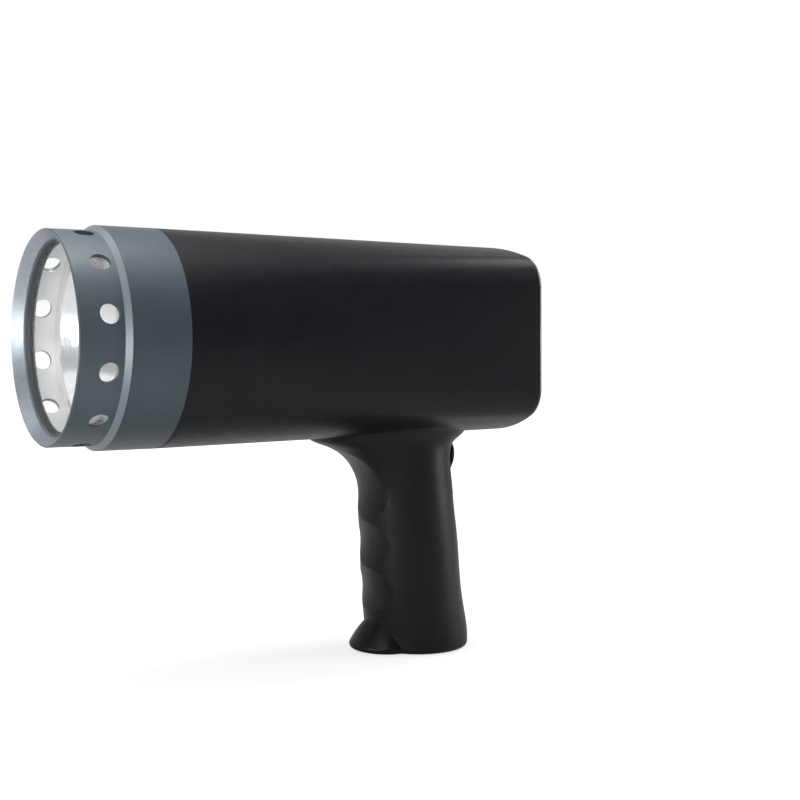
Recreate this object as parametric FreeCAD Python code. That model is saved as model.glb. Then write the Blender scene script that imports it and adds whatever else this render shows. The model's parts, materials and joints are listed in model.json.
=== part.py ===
import FreeCAD, Part
import math
import os

Vector = FreeCAD.Vector

# Frame: the origin is the centre of the grip's flat base, +Z up, +X from the lamp to the control panel.
# All lengths are in millimetres.

# Overall form
axis_height = 144.4
lamp_reach = 182.0
head_length = 218.6

# Lamp ring: vented front, conical shoulder and collar in one turned piece
ring_radius = 44.5
ring_length = 18.7
ring_wall = 1.8
lip_length = 4.8
lip_width = 4.1
lip_edge = 0.6
shoulder_length = 2.4
shoulder_rise = 2.1
collar_length = 24.6
collar_wall = 2.7
vent_count = 12
vent_radius = 4.1
vent_distance = 12.9

# Front glass and its seals
gasket_thickness = 0.8
gasket_overlap = 0.5
lens_thickness = 2.5
snap_ring_thickness = 0.7
snap_ring_width = 4.0
snap_groove_depth = 0.6
snap_ring_gap = 7.0

# Reflector, its carrier and the flash tube
reflector_margin = 9.5
reflector_neck_radius = 12.5
reflector_depth = 24.5
reflector_wall = 1.8
reflector_flange = 1.0
reflector_point_count = 7
carrier_wall = 1.8
carrier_web = 2.5
carrier_seat_radius = 17.0
carrier_depth = 31.0
socket_radius = 14.0
socket_base = 7.0
socket_spigot_radius = 12.1
socket_spigot = 8.5
tube_radius = 2.6
tube_wall = 0.8
tube_spacing = 12.0
tube_leg = 21.0
electrode_radius = 0.9
electrode_length = 9.0
socket_pin_length = 6.0

# Black housing, two mirrored half shells
housing_step = 0.2
housing_wall = 2.5
spigot_length = 9.7
spigot_wall = 2.6
front_web = 3.0
rear_width = 88.5
rear_top = 44.2
rear_bottom = 42.5
rear_tilt = 2.4
top_arc_radius = 134.0
top_corner_radius = 14.6
bottom_arc_radius = 78.0
bottom_corner_radius = 15.0
rim_width = 3.3
rim_rounding = 1.6
seam_width = 0.3
seam_depth = 0.35

# Grip: an elliptical cone that leans back, flared into the head
grip_base_depth = 49.8
grip_base_width = 46.4
neck_height = 78.8
neck_lean = 8.6
neck_depth = 45.6
neck_width = 42.4
neck_top = 100.7
front_blend = 26.0
front_blend_drop = 1.5
front_blend_stretch = 1.25
rear_blend = 12.0
side_blend = 12.0
side_blend_rise = 8.0
blend_end_share = 0.99
grip_floor = 3.0
base_rounding = 2.0
grip_section_points = 16
lower_grip_shares = (0.0, 0.3, 0.6, 0.85)
neck_shares = (0.0, 0.2, 0.38, 0.54, 0.66, 0.76, 0.86, 1.0)

# Finger grooves and toe on the front of the grip
groove_count = 3
groove_pitch = 22.0
groove_top = 70.5
groove_height = 20.4
groove_depth = 2.2
groove_sweep = 33.0
toe_reach = 10.0
toe_radius = 17.5
toe_height = 16.0
toe_shoulder_radius = 8.0
toe_shoulder_height = 14.5
toe_middle_radius = 13.6
toe_middle_height = 7.5

# Case screws
post_radius = 4.4
pilot_radius = 1.2
screw_radius = 1.5
screw_head_radius = 2.8
screw_head_length = 2.2
screw_length = 16.0
screw_seat = 9.0
screw_recess_radius = 3.2
grip_screw_margin = 8.0
grip_screw_heights = (34.4, 70.4)
head_screw_margin = 9.5
head_screw_near = 72.0
head_screw_far = 178.0

# Rear panel, overlay and display
panel_recess = 1.2
overlay_thickness = 0.4
panel_thickness = 2.5
panel_flange = 1.9
panel_flange_inset = 2.9
ledge_thickness = 2.0
ledge_inset = 4.3
display_rise = 14.1
frame_width = 54.0
frame_height = 26.9
frame_corner = 1.3
display_width = 51.2
display_height = 23.4
frame_proud = 0.2
frame_thickness = 2.1
window_thickness = 1.0
module_width = 57.0
module_height = 29.2
module_thickness = 3.0
pin_count = 8
pin_pitch = 5.08
pin_radius = 0.3
pin_margin = 1.0

# Keys: two columns and two rows
key_width = 9.7
key_height = 8.7
key_corner = 1.6
key_proud = 1.3
key_travel = 0.8
key_column_1 = -24.95
key_column_2 = -12.2
key_row_1 = -14.3
key_row_2 = -26.7
key_edge = 0.5
key_flange = 1.0
key_flange_overhang = 0.45
key_stem_radius = 1.5
tact_side = 6.0
tact_corner = 0.3
tact_height = 3.5
tact_plunger = 1.2
tact_plunger_radius = 1.4

# Knobs and their potentiometers
knob_drop = 18.3
fine_knob_side = 2.95
coarse_knob_side = 25.1
knob_base_radius = 8.6
knob_top_radius = 6.9
knob_height = 10.9
knob_gap = 0.6
knob_flute_count = 24
knob_flute_depth = 0.45
knob_bevel = 0.7
knob_skirt = 1.6
knob_cap_wall = 1.6
knob_recess_radius = 6.1
knob_recess_depth = 2.7
shaft_radius = 3.0
bush_radius = 3.5
bush_proud = 2.4
nut_flats = 9.4
nut_thickness = 2.0
nut_sides = 6
pot_radius = 8.1
pot_standoff = 1.0
pot_floor = 0.9
pot_lug_radius = 0.5
pot_lug_spacing = 4.0

# Trigger jack for a 3.5 mm plug
jack_side = 14.15
jack_drop = 26.9
jack_nose_radius = 2.6
jack_bore_radius = 1.8
jack_nose_proud = 0.9
jack_body = 6.8
jack_floor = 0.9
jack_corner = 0.3

# Control board behind the panel
board_thickness = 1.6
control_board_gap = 9.9
control_board_inset = 6.5
boss_radius = 2.8
boss_inset_top = 16.25
boss_drop_top = 12.0
boss_inset_low = 11.05
boss_drop_low = 4.3
board_screw_radius = 1.1
board_screw_head = 2.2
board_screw_head_length = 1.6
board_screw_bite = 7.0

# Rocker switch on the neck
switch_drop = 56.0
switch_set = 2.3
switch_tilt = 15.0
pocket_radius = 12.0
switch_seat = 2.6
flange_radius = 10.2
flange_thickness = 2.0
flange_bevel = 0.9
barrel_radius = 9.0
barrel_depth = 13.0
rocker_bore_radius = 8.3
rocker_bore_depth = 7.5
rocker_radius = 8.1
rocker_bottom = 4.5
rocker_swing = 10.0
rocker_pin_radius = 1.2
rocker_pin_bite = 0.6
rocker_pin_clearance = 0.05
terminal_width = 4.8
terminal_thickness = 0.8
terminal_length = 8.0
terminal_spacing = 7.0

# Flash board in the head
main_board_start = 68.0
main_board_end = 188.0
main_board_margin = 3.56
main_board_drop = 16.0
rib_thickness = 2.0
rib_depth = 8.0
rib_reach = 2.0
rib_stations = (82.0, 126.0, 172.0)
capacitor_radius = 10.0
capacitor_height = 26.0
capacitor_side = 14.0
capacitor_station = 96.0
capacitor_neck = 2.5
capacitor_groove = 0.6
capacitor_groove_height = 1.2
core_length = 30.0
core_width = 26.0
core_height = 24.0
core_limb = 6.0
core_station = 138.0
winding_bulge = 4.0
coil_radius = 6.0
coil_height = 14.0
coil_flange = 1.2
coil_station = 78.0
coil_side = 18.0
sink_length = 22.0
sink_width = 9.0
sink_height = 16.0
sink_fin = 1.2
sink_fin_count = 4
sink_station = 164.0
sink_inset = 15.0

# Battery in the grip
cell_radius = 7.1
cell_length = 50.0
cell_terminal_radius = 2.6
cell_terminal_length = 0.8
cell_bottom = 21.0
cell_spacing = 14.6
cell_forward = 3.0
cradle_wall = 1.2
cradle_end = 2.0

# Charging socket in the base
charge_offset = 11.0
charge_bore_radius = 2.8
charge_body_radius = 4.2
charge_body_height = 13.0
charge_flange_radius = 5.6
charge_flange_thickness = 1.4
charge_pin_radius = 1.0
charge_floor = 2.0
charge_recess = 0.4
charge_pin_set = 1.0

# Clearances
fit = 0.15
running = 0.05
edge_tolerance = 0.05
slack = 0.3
overrun = 5.0

lip_radius = ring_radius - lip_width
collar_radius = ring_radius + shoulder_rise
reflector_mouth_radius = ring_radius - reflector_margin
housing_front_radius = collar_radius - housing_step

front_x = -lamp_reach
shoulder_x = front_x + ring_length
collar_x = shoulder_x + shoulder_length
housing_x = collar_x + collar_length
rear_x = front_x + head_length
overlay_x = rear_x - panel_recess
panel_x = overlay_x - overlay_thickness
panel_back_x = panel_x - panel_thickness
control_board_x = panel_back_x - control_board_gap
ring_bore_radius = ring_radius - ring_wall
collar_bore_radius = collar_radius - collar_wall
carrier_radius = collar_bore_radius - fit
step_x = shoulder_x + fit
spigot_radius = collar_bore_radius - fit
spigot_bore_radius = spigot_radius - spigot_wall

inner_half_width = min(housing_front_radius, rear_width / 2) - housing_wall
main_board_width = 2 * (math.sqrt(inner_half_width ** 2 - main_board_drop ** 2) - main_board_margin)
sink_side = main_board_width / 2 - sink_inset
head_screw_rise = rear_bottom - head_screw_margin
boss_side_top = rear_width / 2 - boss_inset_top
boss_side_low = rear_width / 2 - boss_inset_low
boss_rise_top = rear_top - boss_drop_top


def on_axis(x, side=0.0, rise=0.0):
    """A point at a station along the head, measured sideways and upwards from the lamp axis."""
    return Vector(x, side, axis_height + rise)


def bar(x_start, x_end, radius, side=0.0, rise=0.0):
    """A cylinder along the head."""
    return Part.makeCylinder(radius, x_end - x_start, on_axis(x_start, side, rise), Vector(1, 0, 0))


def block(x_start, x_end, y_start, y_end, z_start, z_end):
    """A box between two corners."""
    corner = Vector(x_start, y_start, z_start)
    return Part.makeBox(x_end - x_start, y_end - y_start, z_end - z_start, corner)


def rounded_plate(x_start, x_end, width, height, corner, side=0.0, rise=0.0):
    """A plate square to the head with four round corners."""
    half_width = width / 2
    half_height = height / 2
    quarter = corner * math.sqrt(0.5)
    edges = []
    previous = None
    first = None
    for sign_y, sign_z, swap in ((1, 1, False), (-1, 1, True), (-1, -1, False), (1, -1, True)):
        centre_y = side + sign_y * (half_width - corner)
        centre_z = rise + sign_z * (half_height - corner)
        on_side = on_axis(x_start, centre_y + sign_y * corner, centre_z)
        on_end = on_axis(x_start, centre_y, centre_z + sign_z * corner)
        middle = on_axis(x_start, centre_y + sign_y * quarter, centre_z + sign_z * quarter)
        start, end = (on_end, on_side) if swap else (on_side, on_end)
        if previous is not None:
            edges.append(Part.LineSegment(previous, start).toShape())
        edges.append(Part.Arc(start, middle, end).toShape())
        first = first or start
        previous = end
    edges.append(Part.LineSegment(previous, first).toShape())
    return Part.Face(Part.Wire(edges)).extrude(Vector(x_end - x_start, 0, 0))


def turned(profile):
    """A solid turned about the lamp axis from points of station and radius."""
    points = [on_axis(x, 0.0, radius) for x, radius in profile]
    face = Part.Face(Part.makePolygon(points + points[:1]))
    return face.revolve(on_axis(0.0), Vector(1, 0, 0), 360)


def leaned(shape, angle):
    """A copy of a shape, turned about the sideways line through the rear outline's centre."""
    copy = shape.copy()
    copy.rotate(on_axis(rear_x), Vector(0, 1, 0), angle)
    return copy


def tilted(shape):
    """A piece drawn square to the head, moved into the tilted plane of the rear panel."""
    return leaned(shape, -rear_tilt)


def join(shapes):
    """One solid from overlapping solids."""
    whole = shapes[0]
    for shape in shapes[1:]:
        whole = whole.fuse(shape)
    return whole.removeSplitter()


def save(node, shape):
    """Writes one named piece."""
    shape.exportStep("parts/" + node + ".step")


# Lamp ring

def lamp_ring():
    """The vented ring with its bevelled lip, shoulder and collar."""
    lip_x = front_x + lip_length
    groove_x = lip_x + gasket_thickness + lens_thickness
    groove_end_x = groove_x + snap_ring_thickness + fit
    groove_radius = ring_bore_radius + snap_groove_depth
    profile = [
        (front_x, ring_radius - lip_edge),
        (front_x + lip_edge, ring_radius),
        (shoulder_x, ring_radius),
        (collar_x, collar_radius),
        (housing_x, housing_front_radius),
        (housing_x, collar_bore_radius),
        (step_x, collar_bore_radius),
        (step_x, ring_bore_radius),
        (groove_end_x, ring_bore_radius),
        (groove_end_x, groove_radius),
        (groove_x, groove_radius),
        (groove_x, ring_bore_radius),
        (lip_x, ring_bore_radius),
        (lip_x, lip_radius),
        (lip_x - lip_edge, lip_radius),
    ]
    ring = turned(profile)
    pitch = 360.0 / vent_count
    vents = []
    for index in range(vent_count):
        vent = Part.makeCylinder(vent_radius, collar_radius + overrun, on_axis(front_x + vent_distance))
        vent.rotate(on_axis(0.0), Vector(1, 0, 0), (index + 0.5) * pitch)
        vents.append(vent)
    return ring.cut(Part.makeCompound(vents))


def lens_pieces():
    """Gasket, glass disc and the open snap ring behind it."""
    gasket_x = front_x + lip_length
    lens_x = gasket_x + gasket_thickness
    snap_x = lens_x + lens_thickness
    lens_radius = ring_bore_radius - fit
    gasket = bar(gasket_x, lens_x, lens_radius)
    gasket = gasket.cut(bar(gasket_x - overrun, lens_x + overrun, lip_radius - gasket_overlap))
    lens = bar(lens_x, snap_x, lens_radius)
    outer = ring_bore_radius + snap_groove_depth - fit
    inner = outer - snap_ring_width
    ring = bar(snap_x, snap_x + snap_ring_thickness, outer)
    ring = ring.cut(bar(snap_x - overrun, snap_x + overrun, inner))
    gap = block(snap_x - overrun, snap_x + overrun, -snap_ring_gap / 2, snap_ring_gap / 2,
                axis_height - outer - overrun, axis_height)
    return gasket, lens, ring.cut(gap)


def reflector():
    """A parabolic bowl with a flange round its mouth and an open neck."""
    flange_x = step_x
    square_change = reflector_mouth_radius ** 2 - reflector_neck_radius ** 2
    inner_points = []
    outer_points = []
    last = reflector_point_count - 1
    for index in range(reflector_point_count):
        radius = reflector_mouth_radius - (reflector_mouth_radius - reflector_neck_radius) * index / last
        depth = reflector_depth * (reflector_mouth_radius ** 2 - radius ** 2) / square_change
        inner_points.append(on_axis(flange_x + depth, 0.0, radius))
        outer_points.append(on_axis(flange_x + depth + reflector_wall, 0.0, radius))
    inner = Part.BSplineCurve()
    inner.interpolate(inner_points)
    outer = Part.BSplineCurve()
    outer.interpolate(outer_points)
    wire = Part.Wire([
        inner.toShape(),
        Part.LineSegment(inner_points[-1], outer_points[-1]).toShape(),
        outer.toShape(),
        Part.LineSegment(outer_points[0], inner_points[0]).toShape(),
    ])
    bowl = Part.Face(wire).revolve(on_axis(0.0), Vector(1, 0, 0), 360)
    flange = bar(flange_x, flange_x + reflector_flange, carrier_radius)
    flange = flange.cut(bar(flange_x - overrun, housing_x, reflector_mouth_radius))
    return bowl.fuse(flange)


def reflector_carrier():
    """A cup that clamps the reflector's flange and carries the lamp socket."""
    start_x = step_x + reflector_flange
    end_x = housing_x - spigot_length - slack
    inside = carrier_radius - carrier_wall
    seat_x = start_x + carrier_depth
    profile = [
        (start_x, inside),
        (start_x, carrier_radius),
        (end_x, carrier_radius),
        (end_x, spigot_bore_radius - slack),
        (seat_x, carrier_seat_radius),
        (seat_x, socket_spigot_radius + slack),
        (seat_x - carrier_web, socket_spigot_radius + slack),
        (seat_x - carrier_web, carrier_seat_radius - carrier_wall),
        (end_x - carrier_web, inside),
    ]
    return turned(profile)


def socket_seat_x():
    """The rear face of the carrier, where the socket's base rests."""
    return step_x + reflector_flange + carrier_depth


def lamp_socket():
    """A ceramic disc with a front spigot and two holes for the tube's legs."""
    seat_x = socket_seat_x()
    body = bar(seat_x, seat_x + socket_base, socket_radius)
    spigot = bar(seat_x - socket_spigot, seat_x, socket_spigot_radius)
    body = join([body, spigot])
    for side in (-1, 1):
        leg = bar(seat_x - socket_spigot - overrun, seat_x, tube_radius + fit, side * tube_spacing / 2)
        pin = bar(seat_x - overrun, seat_x + socket_base + overrun, electrode_radius + running,
                  side * tube_spacing / 2)
        body = body.cut(leg).cut(pin)
    return body


def u_tube(radius):
    """A bent rod: two legs along the head joined by a half turn at the front."""
    seat_x = socket_seat_x()
    bend_x = seat_x - tube_leg
    bend = Part.makeTorus(tube_spacing / 2, radius, on_axis(bend_x), Vector(0, 0, 1))
    bend = bend.common(block(bend_x - tube_spacing, bend_x, -tube_spacing, tube_spacing,
                             axis_height - tube_spacing, axis_height + tube_spacing))
    legs = [bar(bend_x, seat_x - running, radius, side * tube_spacing / 2) for side in (-1, 1)]
    return join([bend] + legs)


def flash_tube():
    """A U of glass, hollow along its whole length."""
    return u_tube(tube_radius).cut(u_tube(tube_radius - tube_wall))


def tube_electrodes():
    """A metal pin in each leg, through the socket to its rear side."""
    seat_x = socket_seat_x()
    end_x = seat_x + socket_base + socket_pin_length
    pins = [bar(seat_x - electrode_length, end_x, electrode_radius, side * tube_spacing / 2)
            for side in (-1, 1)]
    return Part.makeCompound(pins)


# Black housing

def corner_rise(reach, arc_radius, half_width, corner_radius):
    """Height of the centre of a corner arc that touches the side and lies inside the end arc."""
    spread = (arc_radius - corner_radius) ** 2 - (half_width - corner_radius) ** 2
    return reach - arc_radius + math.sqrt(spread)


def outline(inset):
    """Corners of the rear outline and the middles between them, from the right side upwards."""
    half_width = rear_width / 2 - inset
    points = []
    for sign, reach, arc_radius, corner_radius in (
            (1, rear_top, top_arc_radius, top_corner_radius),
            (-1, rear_bottom, bottom_arc_radius, bottom_corner_radius)):
        reach = reach - inset
        arc_radius = arc_radius - inset
        corner_radius = corner_radius - inset
        centre = corner_rise(reach, arc_radius, half_width, corner_radius)
        across = half_width - corner_radius
        turn = math.atan2(centre - (reach - arc_radius), across)
        joint = (across + corner_radius * math.cos(turn), centre + corner_radius * math.sin(turn))
        middle = (across + corner_radius * math.cos(turn / 2), centre + corner_radius * math.sin(turn / 2))
        points.append([(half_width, sign * centre), (middle[0], sign * middle[1]),
                       (joint[0], sign * joint[1]), (0.0, sign * reach)])
    top, bottom = points
    mirrored_top = [(-y, z) for y, z in reversed(top[:3])]
    mirrored_bottom = [(-y, z) for y, z in bottom[:3]]
    low_right = list(reversed(bottom[:3]))
    corners = top + mirrored_top
    corners += [(-half_width, (top[0][1] + bottom[0][1]) / 2)] + mirrored_bottom + [bottom[3]] + low_right
    return corners + [(half_width, (top[0][1] + bottom[0][1]) / 2)]


def closed_wire(x, points):
    """A wire through pairs of corner and middle points; a middle in line gives a straight edge."""
    edges = []
    count = len(points)
    for index in range(0, count, 2):
        start = on_axis(x, *points[index])
        middle = on_axis(x, *points[(index + 1) % count])
        end = on_axis(x, *points[(index + 2) % count])
        if abs((middle - start).cross(end - start).x) < edge_tolerance:
            edges.append(Part.LineSegment(start, end).toShape())
        else:
            edges.append(Part.Arc(start, middle, end).toShape())
    return Part.Wire(edges)


def round_section(x, radius):
    """A circle cut into the same edges as the rear outline."""
    points = []
    for y, z in outline(0.0):
        angle = math.atan2(z, y)
        points.append((radius * math.cos(angle), radius * math.sin(angle)))
    return closed_wire(x, points)


def head_form(inset):
    """The head from the round collar end to the rear outline."""
    front = round_section(housing_x, housing_front_radius - inset)
    rear = tilted(closed_wire(rear_x, outline(inset)))
    return Part.makeLoft([front, rear], True, True)


def rounded(shape, radius, position, axis_letter):
    """Rounds the edges of a solid that lie in one plane across an axis."""
    edges = []
    for edge in shape.Edges:
        box = edge.BoundBox
        low = getattr(box, axis_letter + "Min")
        high = getattr(box, axis_letter + "Max")
        if abs(low - position) < edge_tolerance and abs(high - position) < edge_tolerance:
            edges.append(edge)
    return shape.makeFillet(radius, edges)


def outline_prism(x_start, x_end, inset):
    """A straight length of the rear outline."""
    face = Part.Face(closed_wire(x_start, outline(inset)))
    return face.extrude(Vector(x_end - x_start, 0, 0))


def blend(height, top, radius):
    """How far a concave blend stands out at a height below the surface that it meets."""
    rise = min(max(height - (top - radius), 0.0), blend_end_share * radius)
    return radius - math.sqrt(radius ** 2 - rise ** 2)


def grip_size(height, inset):
    """Centre and half axes of the grip's section at a height."""
    share = height / neck_height
    centre = -neck_lean * share
    depth = (grip_base_depth + (neck_depth - grip_base_depth) * share) / 2 - inset
    width = (grip_base_width + (neck_width - grip_base_width) * share) / 2 - inset
    return centre, depth, width


def grip_section(height, inset, flared, front_inset=0.0):
    """One closed section of the grip, flared towards the head."""
    centre, depth, width = grip_size(height, inset)
    front = depth - front_inset
    rear = depth
    if flared:
        front += front_blend_stretch * blend(height, neck_top - front_blend_drop, front_blend)
        rear += blend(height, neck_top, rear_blend)
        width += blend(height, neck_top + side_blend_rise, side_blend)
    points = []
    for index in range(grip_section_points):
        angle = 2 * math.pi * index / grip_section_points
        reach = rear if math.cos(angle) > 0 else front
        points.append(Vector(centre + reach * math.cos(angle), width * math.sin(angle), height))
    curve = Part.BSplineCurve()
    curve.interpolate(Points=points, PeriodicFlag=True)
    return Part.Wire(curve.toShape())


def grip_form():
    """The grip and its flared neck, up into the head."""
    start = neck_top - front_blend_drop - front_blend
    top = neck_top + side_blend_rise + housing_wall
    heights = [start * share for share in lower_grip_shares]
    heights += [start + (top - start) * share for share in neck_shares]
    sections = [grip_section(height, 0.0, True) for height in heights]
    return Part.makeLoft(sections, True, False)


def toe_form():
    """The swollen toe at the grip's front, a bulged cone on the base."""
    centre = -grip_base_depth / 2 - toe_reach + toe_radius
    foot = Vector(centre + toe_radius, 0, 0)
    middle = Vector(centre + toe_middle_radius, 0, toe_middle_height)
    shoulder = Vector(centre + toe_shoulder_radius, 0, toe_shoulder_height)
    top = Vector(centre, 0, toe_height)
    ground = Vector(centre, 0, 0)
    wire = Part.Wire([
        Part.LineSegment(ground, foot).toShape(),
        Part.Arc(foot, middle, shoulder).toShape(),
        Part.LineSegment(shoulder, top).toShape(),
        Part.LineSegment(top, ground).toShape(),
    ])
    return Part.Face(wire).revolve(ground, Vector(0, 0, 1), 360)


def finger_grooves():
    """Ring-shaped cutters that leave shallow scallops on the grip's front."""
    cutters = []
    half = groove_height / 2
    profile_radius = (half ** 2 + groove_depth ** 2) / (2 * groove_depth)
    for index in range(groove_count):
        height = groove_top - index * groove_pitch
        centre, depth, width = grip_size(height, 0.0)
        ring_x = centre - depth + groove_depth + groove_sweep
        cutters.append(Part.makeTorus(groove_sweep + profile_radius, profile_radius,
                                      Vector(ring_x, 0, height), Vector(0, 0, 1)))
    return cutters


def housing_form():
    """The outside of both half shells together."""
    grip = rounded(grip_form().fuse(toe_form()), base_rounding, 0.0, "Z")
    for cutter in finger_grooves():
        grip = grip.cut(cutter)
    head = rounded(leaned(head_form(0.0), rear_tilt), rim_rounding, rear_x, "X")
    return tilted(head).fuse(grip)


def cavity():
    """The hollow of both half shells together, open at the front spigot and the rear rim."""
    inside = head_form(housing_wall)
    web_x = housing_x + front_web
    groove_x = panel_back_x - panel_flange
    ledge_x = groove_x - ledge_thickness
    lip_x = panel_back_x + running
    span = rear_width
    top = axis_height + span
    hall = inside.common(tilted(block(front_x, ledge_x, -span, span, 0, top)))
    hall = hall.cut(block(front_x - overrun, web_x, -span, span, -overrun, top + overrun))
    groove = inside.common(tilted(block(groove_x, lip_x, -span, span, 0, top)))
    neck = bar(housing_x - spigot_length - overrun, web_x + overrun, spigot_bore_radius)
    ledge = tilted(outline_prism(ledge_x - overrun, groove_x + running, ledge_inset))
    mouth = tilted(outline_prism(lip_x - running, rear_x + overrun, rim_width))
    return join([hall, neck, ledge, groove, mouth])


def grip_cavity():
    """The hollow of the grip, set back behind the finger grooves, up into the head."""
    low = grip_section(grip_floor, housing_wall, False, groove_depth)
    high = grip_section(axis_height - rear_bottom + housing_wall + overrun, housing_wall, False, groove_depth)
    return Part.makeLoft([low, high], True, True)


def seam_lines():
    """Thin grooves along the joint of the half shells: across the rim and down the grip's back."""
    half = seam_width / 2
    deep = rim_width + overrun
    rim_x = rear_x - seam_depth
    end_x = rear_x + overrun
    top = block(rim_x, end_x, -half, half, axis_height + rear_top - deep, axis_height + rear_width)
    low = block(rim_x, end_x, -half, half, axis_height - rear_width, axis_height - rear_bottom + deep)
    foot = grip_size(base_rounding, 0.0)
    neck = grip_size(neck_height - overrun, 0.0)
    corners = [
        Vector(foot[0] + foot[1] - seam_depth, -half, base_rounding),
        Vector(foot[0] + foot[1] + overrun, -half, base_rounding),
        Vector(neck[0] + neck[1] + overrun, -half, neck_height - overrun),
        Vector(neck[0] + neck[1] - seam_depth, -half, neck_height - overrun),
    ]
    back = Part.Face(Part.makePolygon(corners + corners[:1])).extrude(Vector(0, seam_width, 0))
    return Part.makeCompound([tilted(top), tilted(low), back])


def switch_placement():
    """Moves a piece drawn along +Z, with the land at zero, onto the tilted land of the neck."""
    turn = FreeCAD.Rotation(Vector(0, 1, 0), 90 + switch_tilt)
    centre, depth, _ = grip_size(axis_height - switch_drop, switch_set)
    return FreeCAD.Placement(on_axis(centre + depth, 0.0, -switch_drop), turn)


def on_land(shape):
    """A piece drawn in the switch's own frame, placed on the neck."""
    shape.Placement = switch_placement().multiply(shape.Placement)
    return shape


def case_screw_places():
    """Stations and heights of the case screws, as x and z."""
    places = []
    for height in grip_screw_heights:
        centre, depth, _ = grip_size(height, grip_screw_margin)
        places.append((centre + depth, height))
    places.append((front_x + head_screw_near, axis_height + head_screw_rise))
    places.append((front_x + head_screw_near, axis_height - head_screw_rise))
    places.append((front_x + head_screw_far, axis_height + head_screw_rise))
    return places


def screw_posts():
    """Solid posts across both half shells, one at each case screw."""
    posts = []
    for x, z in case_screw_places():
        start = Vector(x, -rear_width, z)
        posts.append(Part.makeCylinder(post_radius, 2 * rear_width, start, Vector(0, 1, 0)))
    return Part.makeCompound(posts)


def screw_bores():
    """Pilot holes to the left of the seam, clearance holes and head recesses to the right."""
    bores = []
    for x, z in case_screw_places():
        seat = Vector(x, screw_seat, z)
        left = Vector(0, -1, 0)
        bores.append(Part.makeCylinder(pilot_radius, screw_length + slack, seat, left))
        bores.append(Part.makeCylinder(screw_radius + fit, screw_seat, seat, left))
        bores.append(Part.makeCylinder(screw_recess_radius, rear_width, seat, Vector(0, 1, 0)))
    return Part.makeCompound(bores)


def board_ribs():
    """Ribs with slots that hold the edges of the flash board."""
    board_z = axis_height - main_board_drop
    half_width = main_board_width / 2
    ribs = []
    for station in rib_stations:
        for side in (-1, 1):
            inner = side * (half_width - rib_reach)
            outer = side * rear_width
            rib = block(front_x + station, front_x + station + rib_thickness, min(inner, outer),
                        max(inner, outer), board_z - rib_depth, board_z + rib_depth)
            slot_end = side * (half_width + fit)
            slot = block(front_x, rear_x, min(0, slot_end), max(0, slot_end),
                         board_z - board_thickness - fit, board_z + fit)
            ribs.append(rib.cut(slot))
    return Part.makeCompound(ribs)


def housing_halves():
    """Left and right half shells with their posts, ribs, land and seam."""
    form = housing_form()
    shell = form.cut(cavity()).cut(grip_cavity())
    spigot = bar(housing_x - spigot_length, housing_x + front_web, spigot_radius)
    bore = bar(housing_x - spigot_length - overrun, housing_x + front_web + overrun, spigot_bore_radius)
    seat = on_land(Part.makeCylinder(pocket_radius + housing_wall, switch_seat, Vector(0, 0, -switch_seat)))
    inner_parts = [seat] + screw_posts().Solids + board_ribs().Solids
    room = form.cut(tilted(outline_prism(panel_back_x - panel_flange - ledge_thickness, rear_x, 0.0)))
    for piece in inner_parts:
        shell = shell.fuse(piece.common(room))
    shell = shell.fuse(spigot.cut(bore))
    pocket = on_land(Part.makeCylinder(pocket_radius, axis_height))
    hole = on_land(Part.makeCylinder(barrel_radius + fit, 2 * overrun, Vector(0, 0, -overrun)))
    shell = shell.cut(pocket).cut(hole).cut(screw_bores()).cut(seam_lines())
    below = Vector(charge_offset, 0, -overrun)
    charge = Part.makeCylinder(charge_body_radius + fit, grip_floor + 2 * overrun, below)
    sunk = Part.makeCylinder(charge_flange_radius + fit, charge_flange_thickness + overrun, below)
    shell = shell.cut(charge).cut(sunk)
    halves = []
    for side in (-1, 1):
        half = block(-2 * lamp_reach, lamp_reach, min(0, side * rear_width), max(0, side * rear_width),
                     -overrun, axis_height + rear_width)
        halves.append(shell.common(half))
    return halves


def case_screws():
    """Pan-head screws from the right side, past the seam."""
    screws = []
    for x, z in case_screw_places():
        seat = Vector(x, screw_seat, z)
        shank = Part.makeCylinder(pilot_radius - running, screw_length, seat, Vector(0, -1, 0))
        top = Part.makeCylinder(screw_head_radius, screw_head_length, seat, Vector(0, 1, 0))
        screws.append(join([shank, top]))
    return Part.makeCompound(screws)


# Rear panel, overlay and display

def key_places():
    """Sideways place and height of the four keys, by row from the top left."""
    return [(side, rise) for rise in (key_row_1, key_row_2) for side in (key_column_1, key_column_2)]


def knob_places():
    """Sideways place and height of the fine and the coarse knob."""
    return [(fine_knob_side, -knob_drop), (coarse_knob_side, -knob_drop)]


def boss_places():
    """Screw bosses on the back of the panel."""
    places = []
    for side in (-1, 1):
        places.append((side * boss_side_top, boss_rise_top))
        places.append((side * boss_side_low, -boss_drop_low))
    return places


def panel_openings(x_start, x_end, extra):
    """Cutters for everything that passes through the panel."""
    cutters = [rounded_plate(x_start, x_end, frame_width + 2 * extra, frame_height + 2 * extra,
                             frame_corner + extra, 0.0, display_rise)]
    for side, rise in key_places():
        cutters.append(rounded_plate(x_start, x_end, key_width + 2 * extra, key_height + 2 * extra,
                                     key_corner + extra, side, rise))
    for side, rise in knob_places():
        cutters.append(bar(x_start, x_end, bush_radius + extra, side, rise))
    cutters.append(bar(x_start, x_end, jack_nose_radius + extra, jack_side, -jack_drop))
    return Part.makeCompound(cutters)


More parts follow.
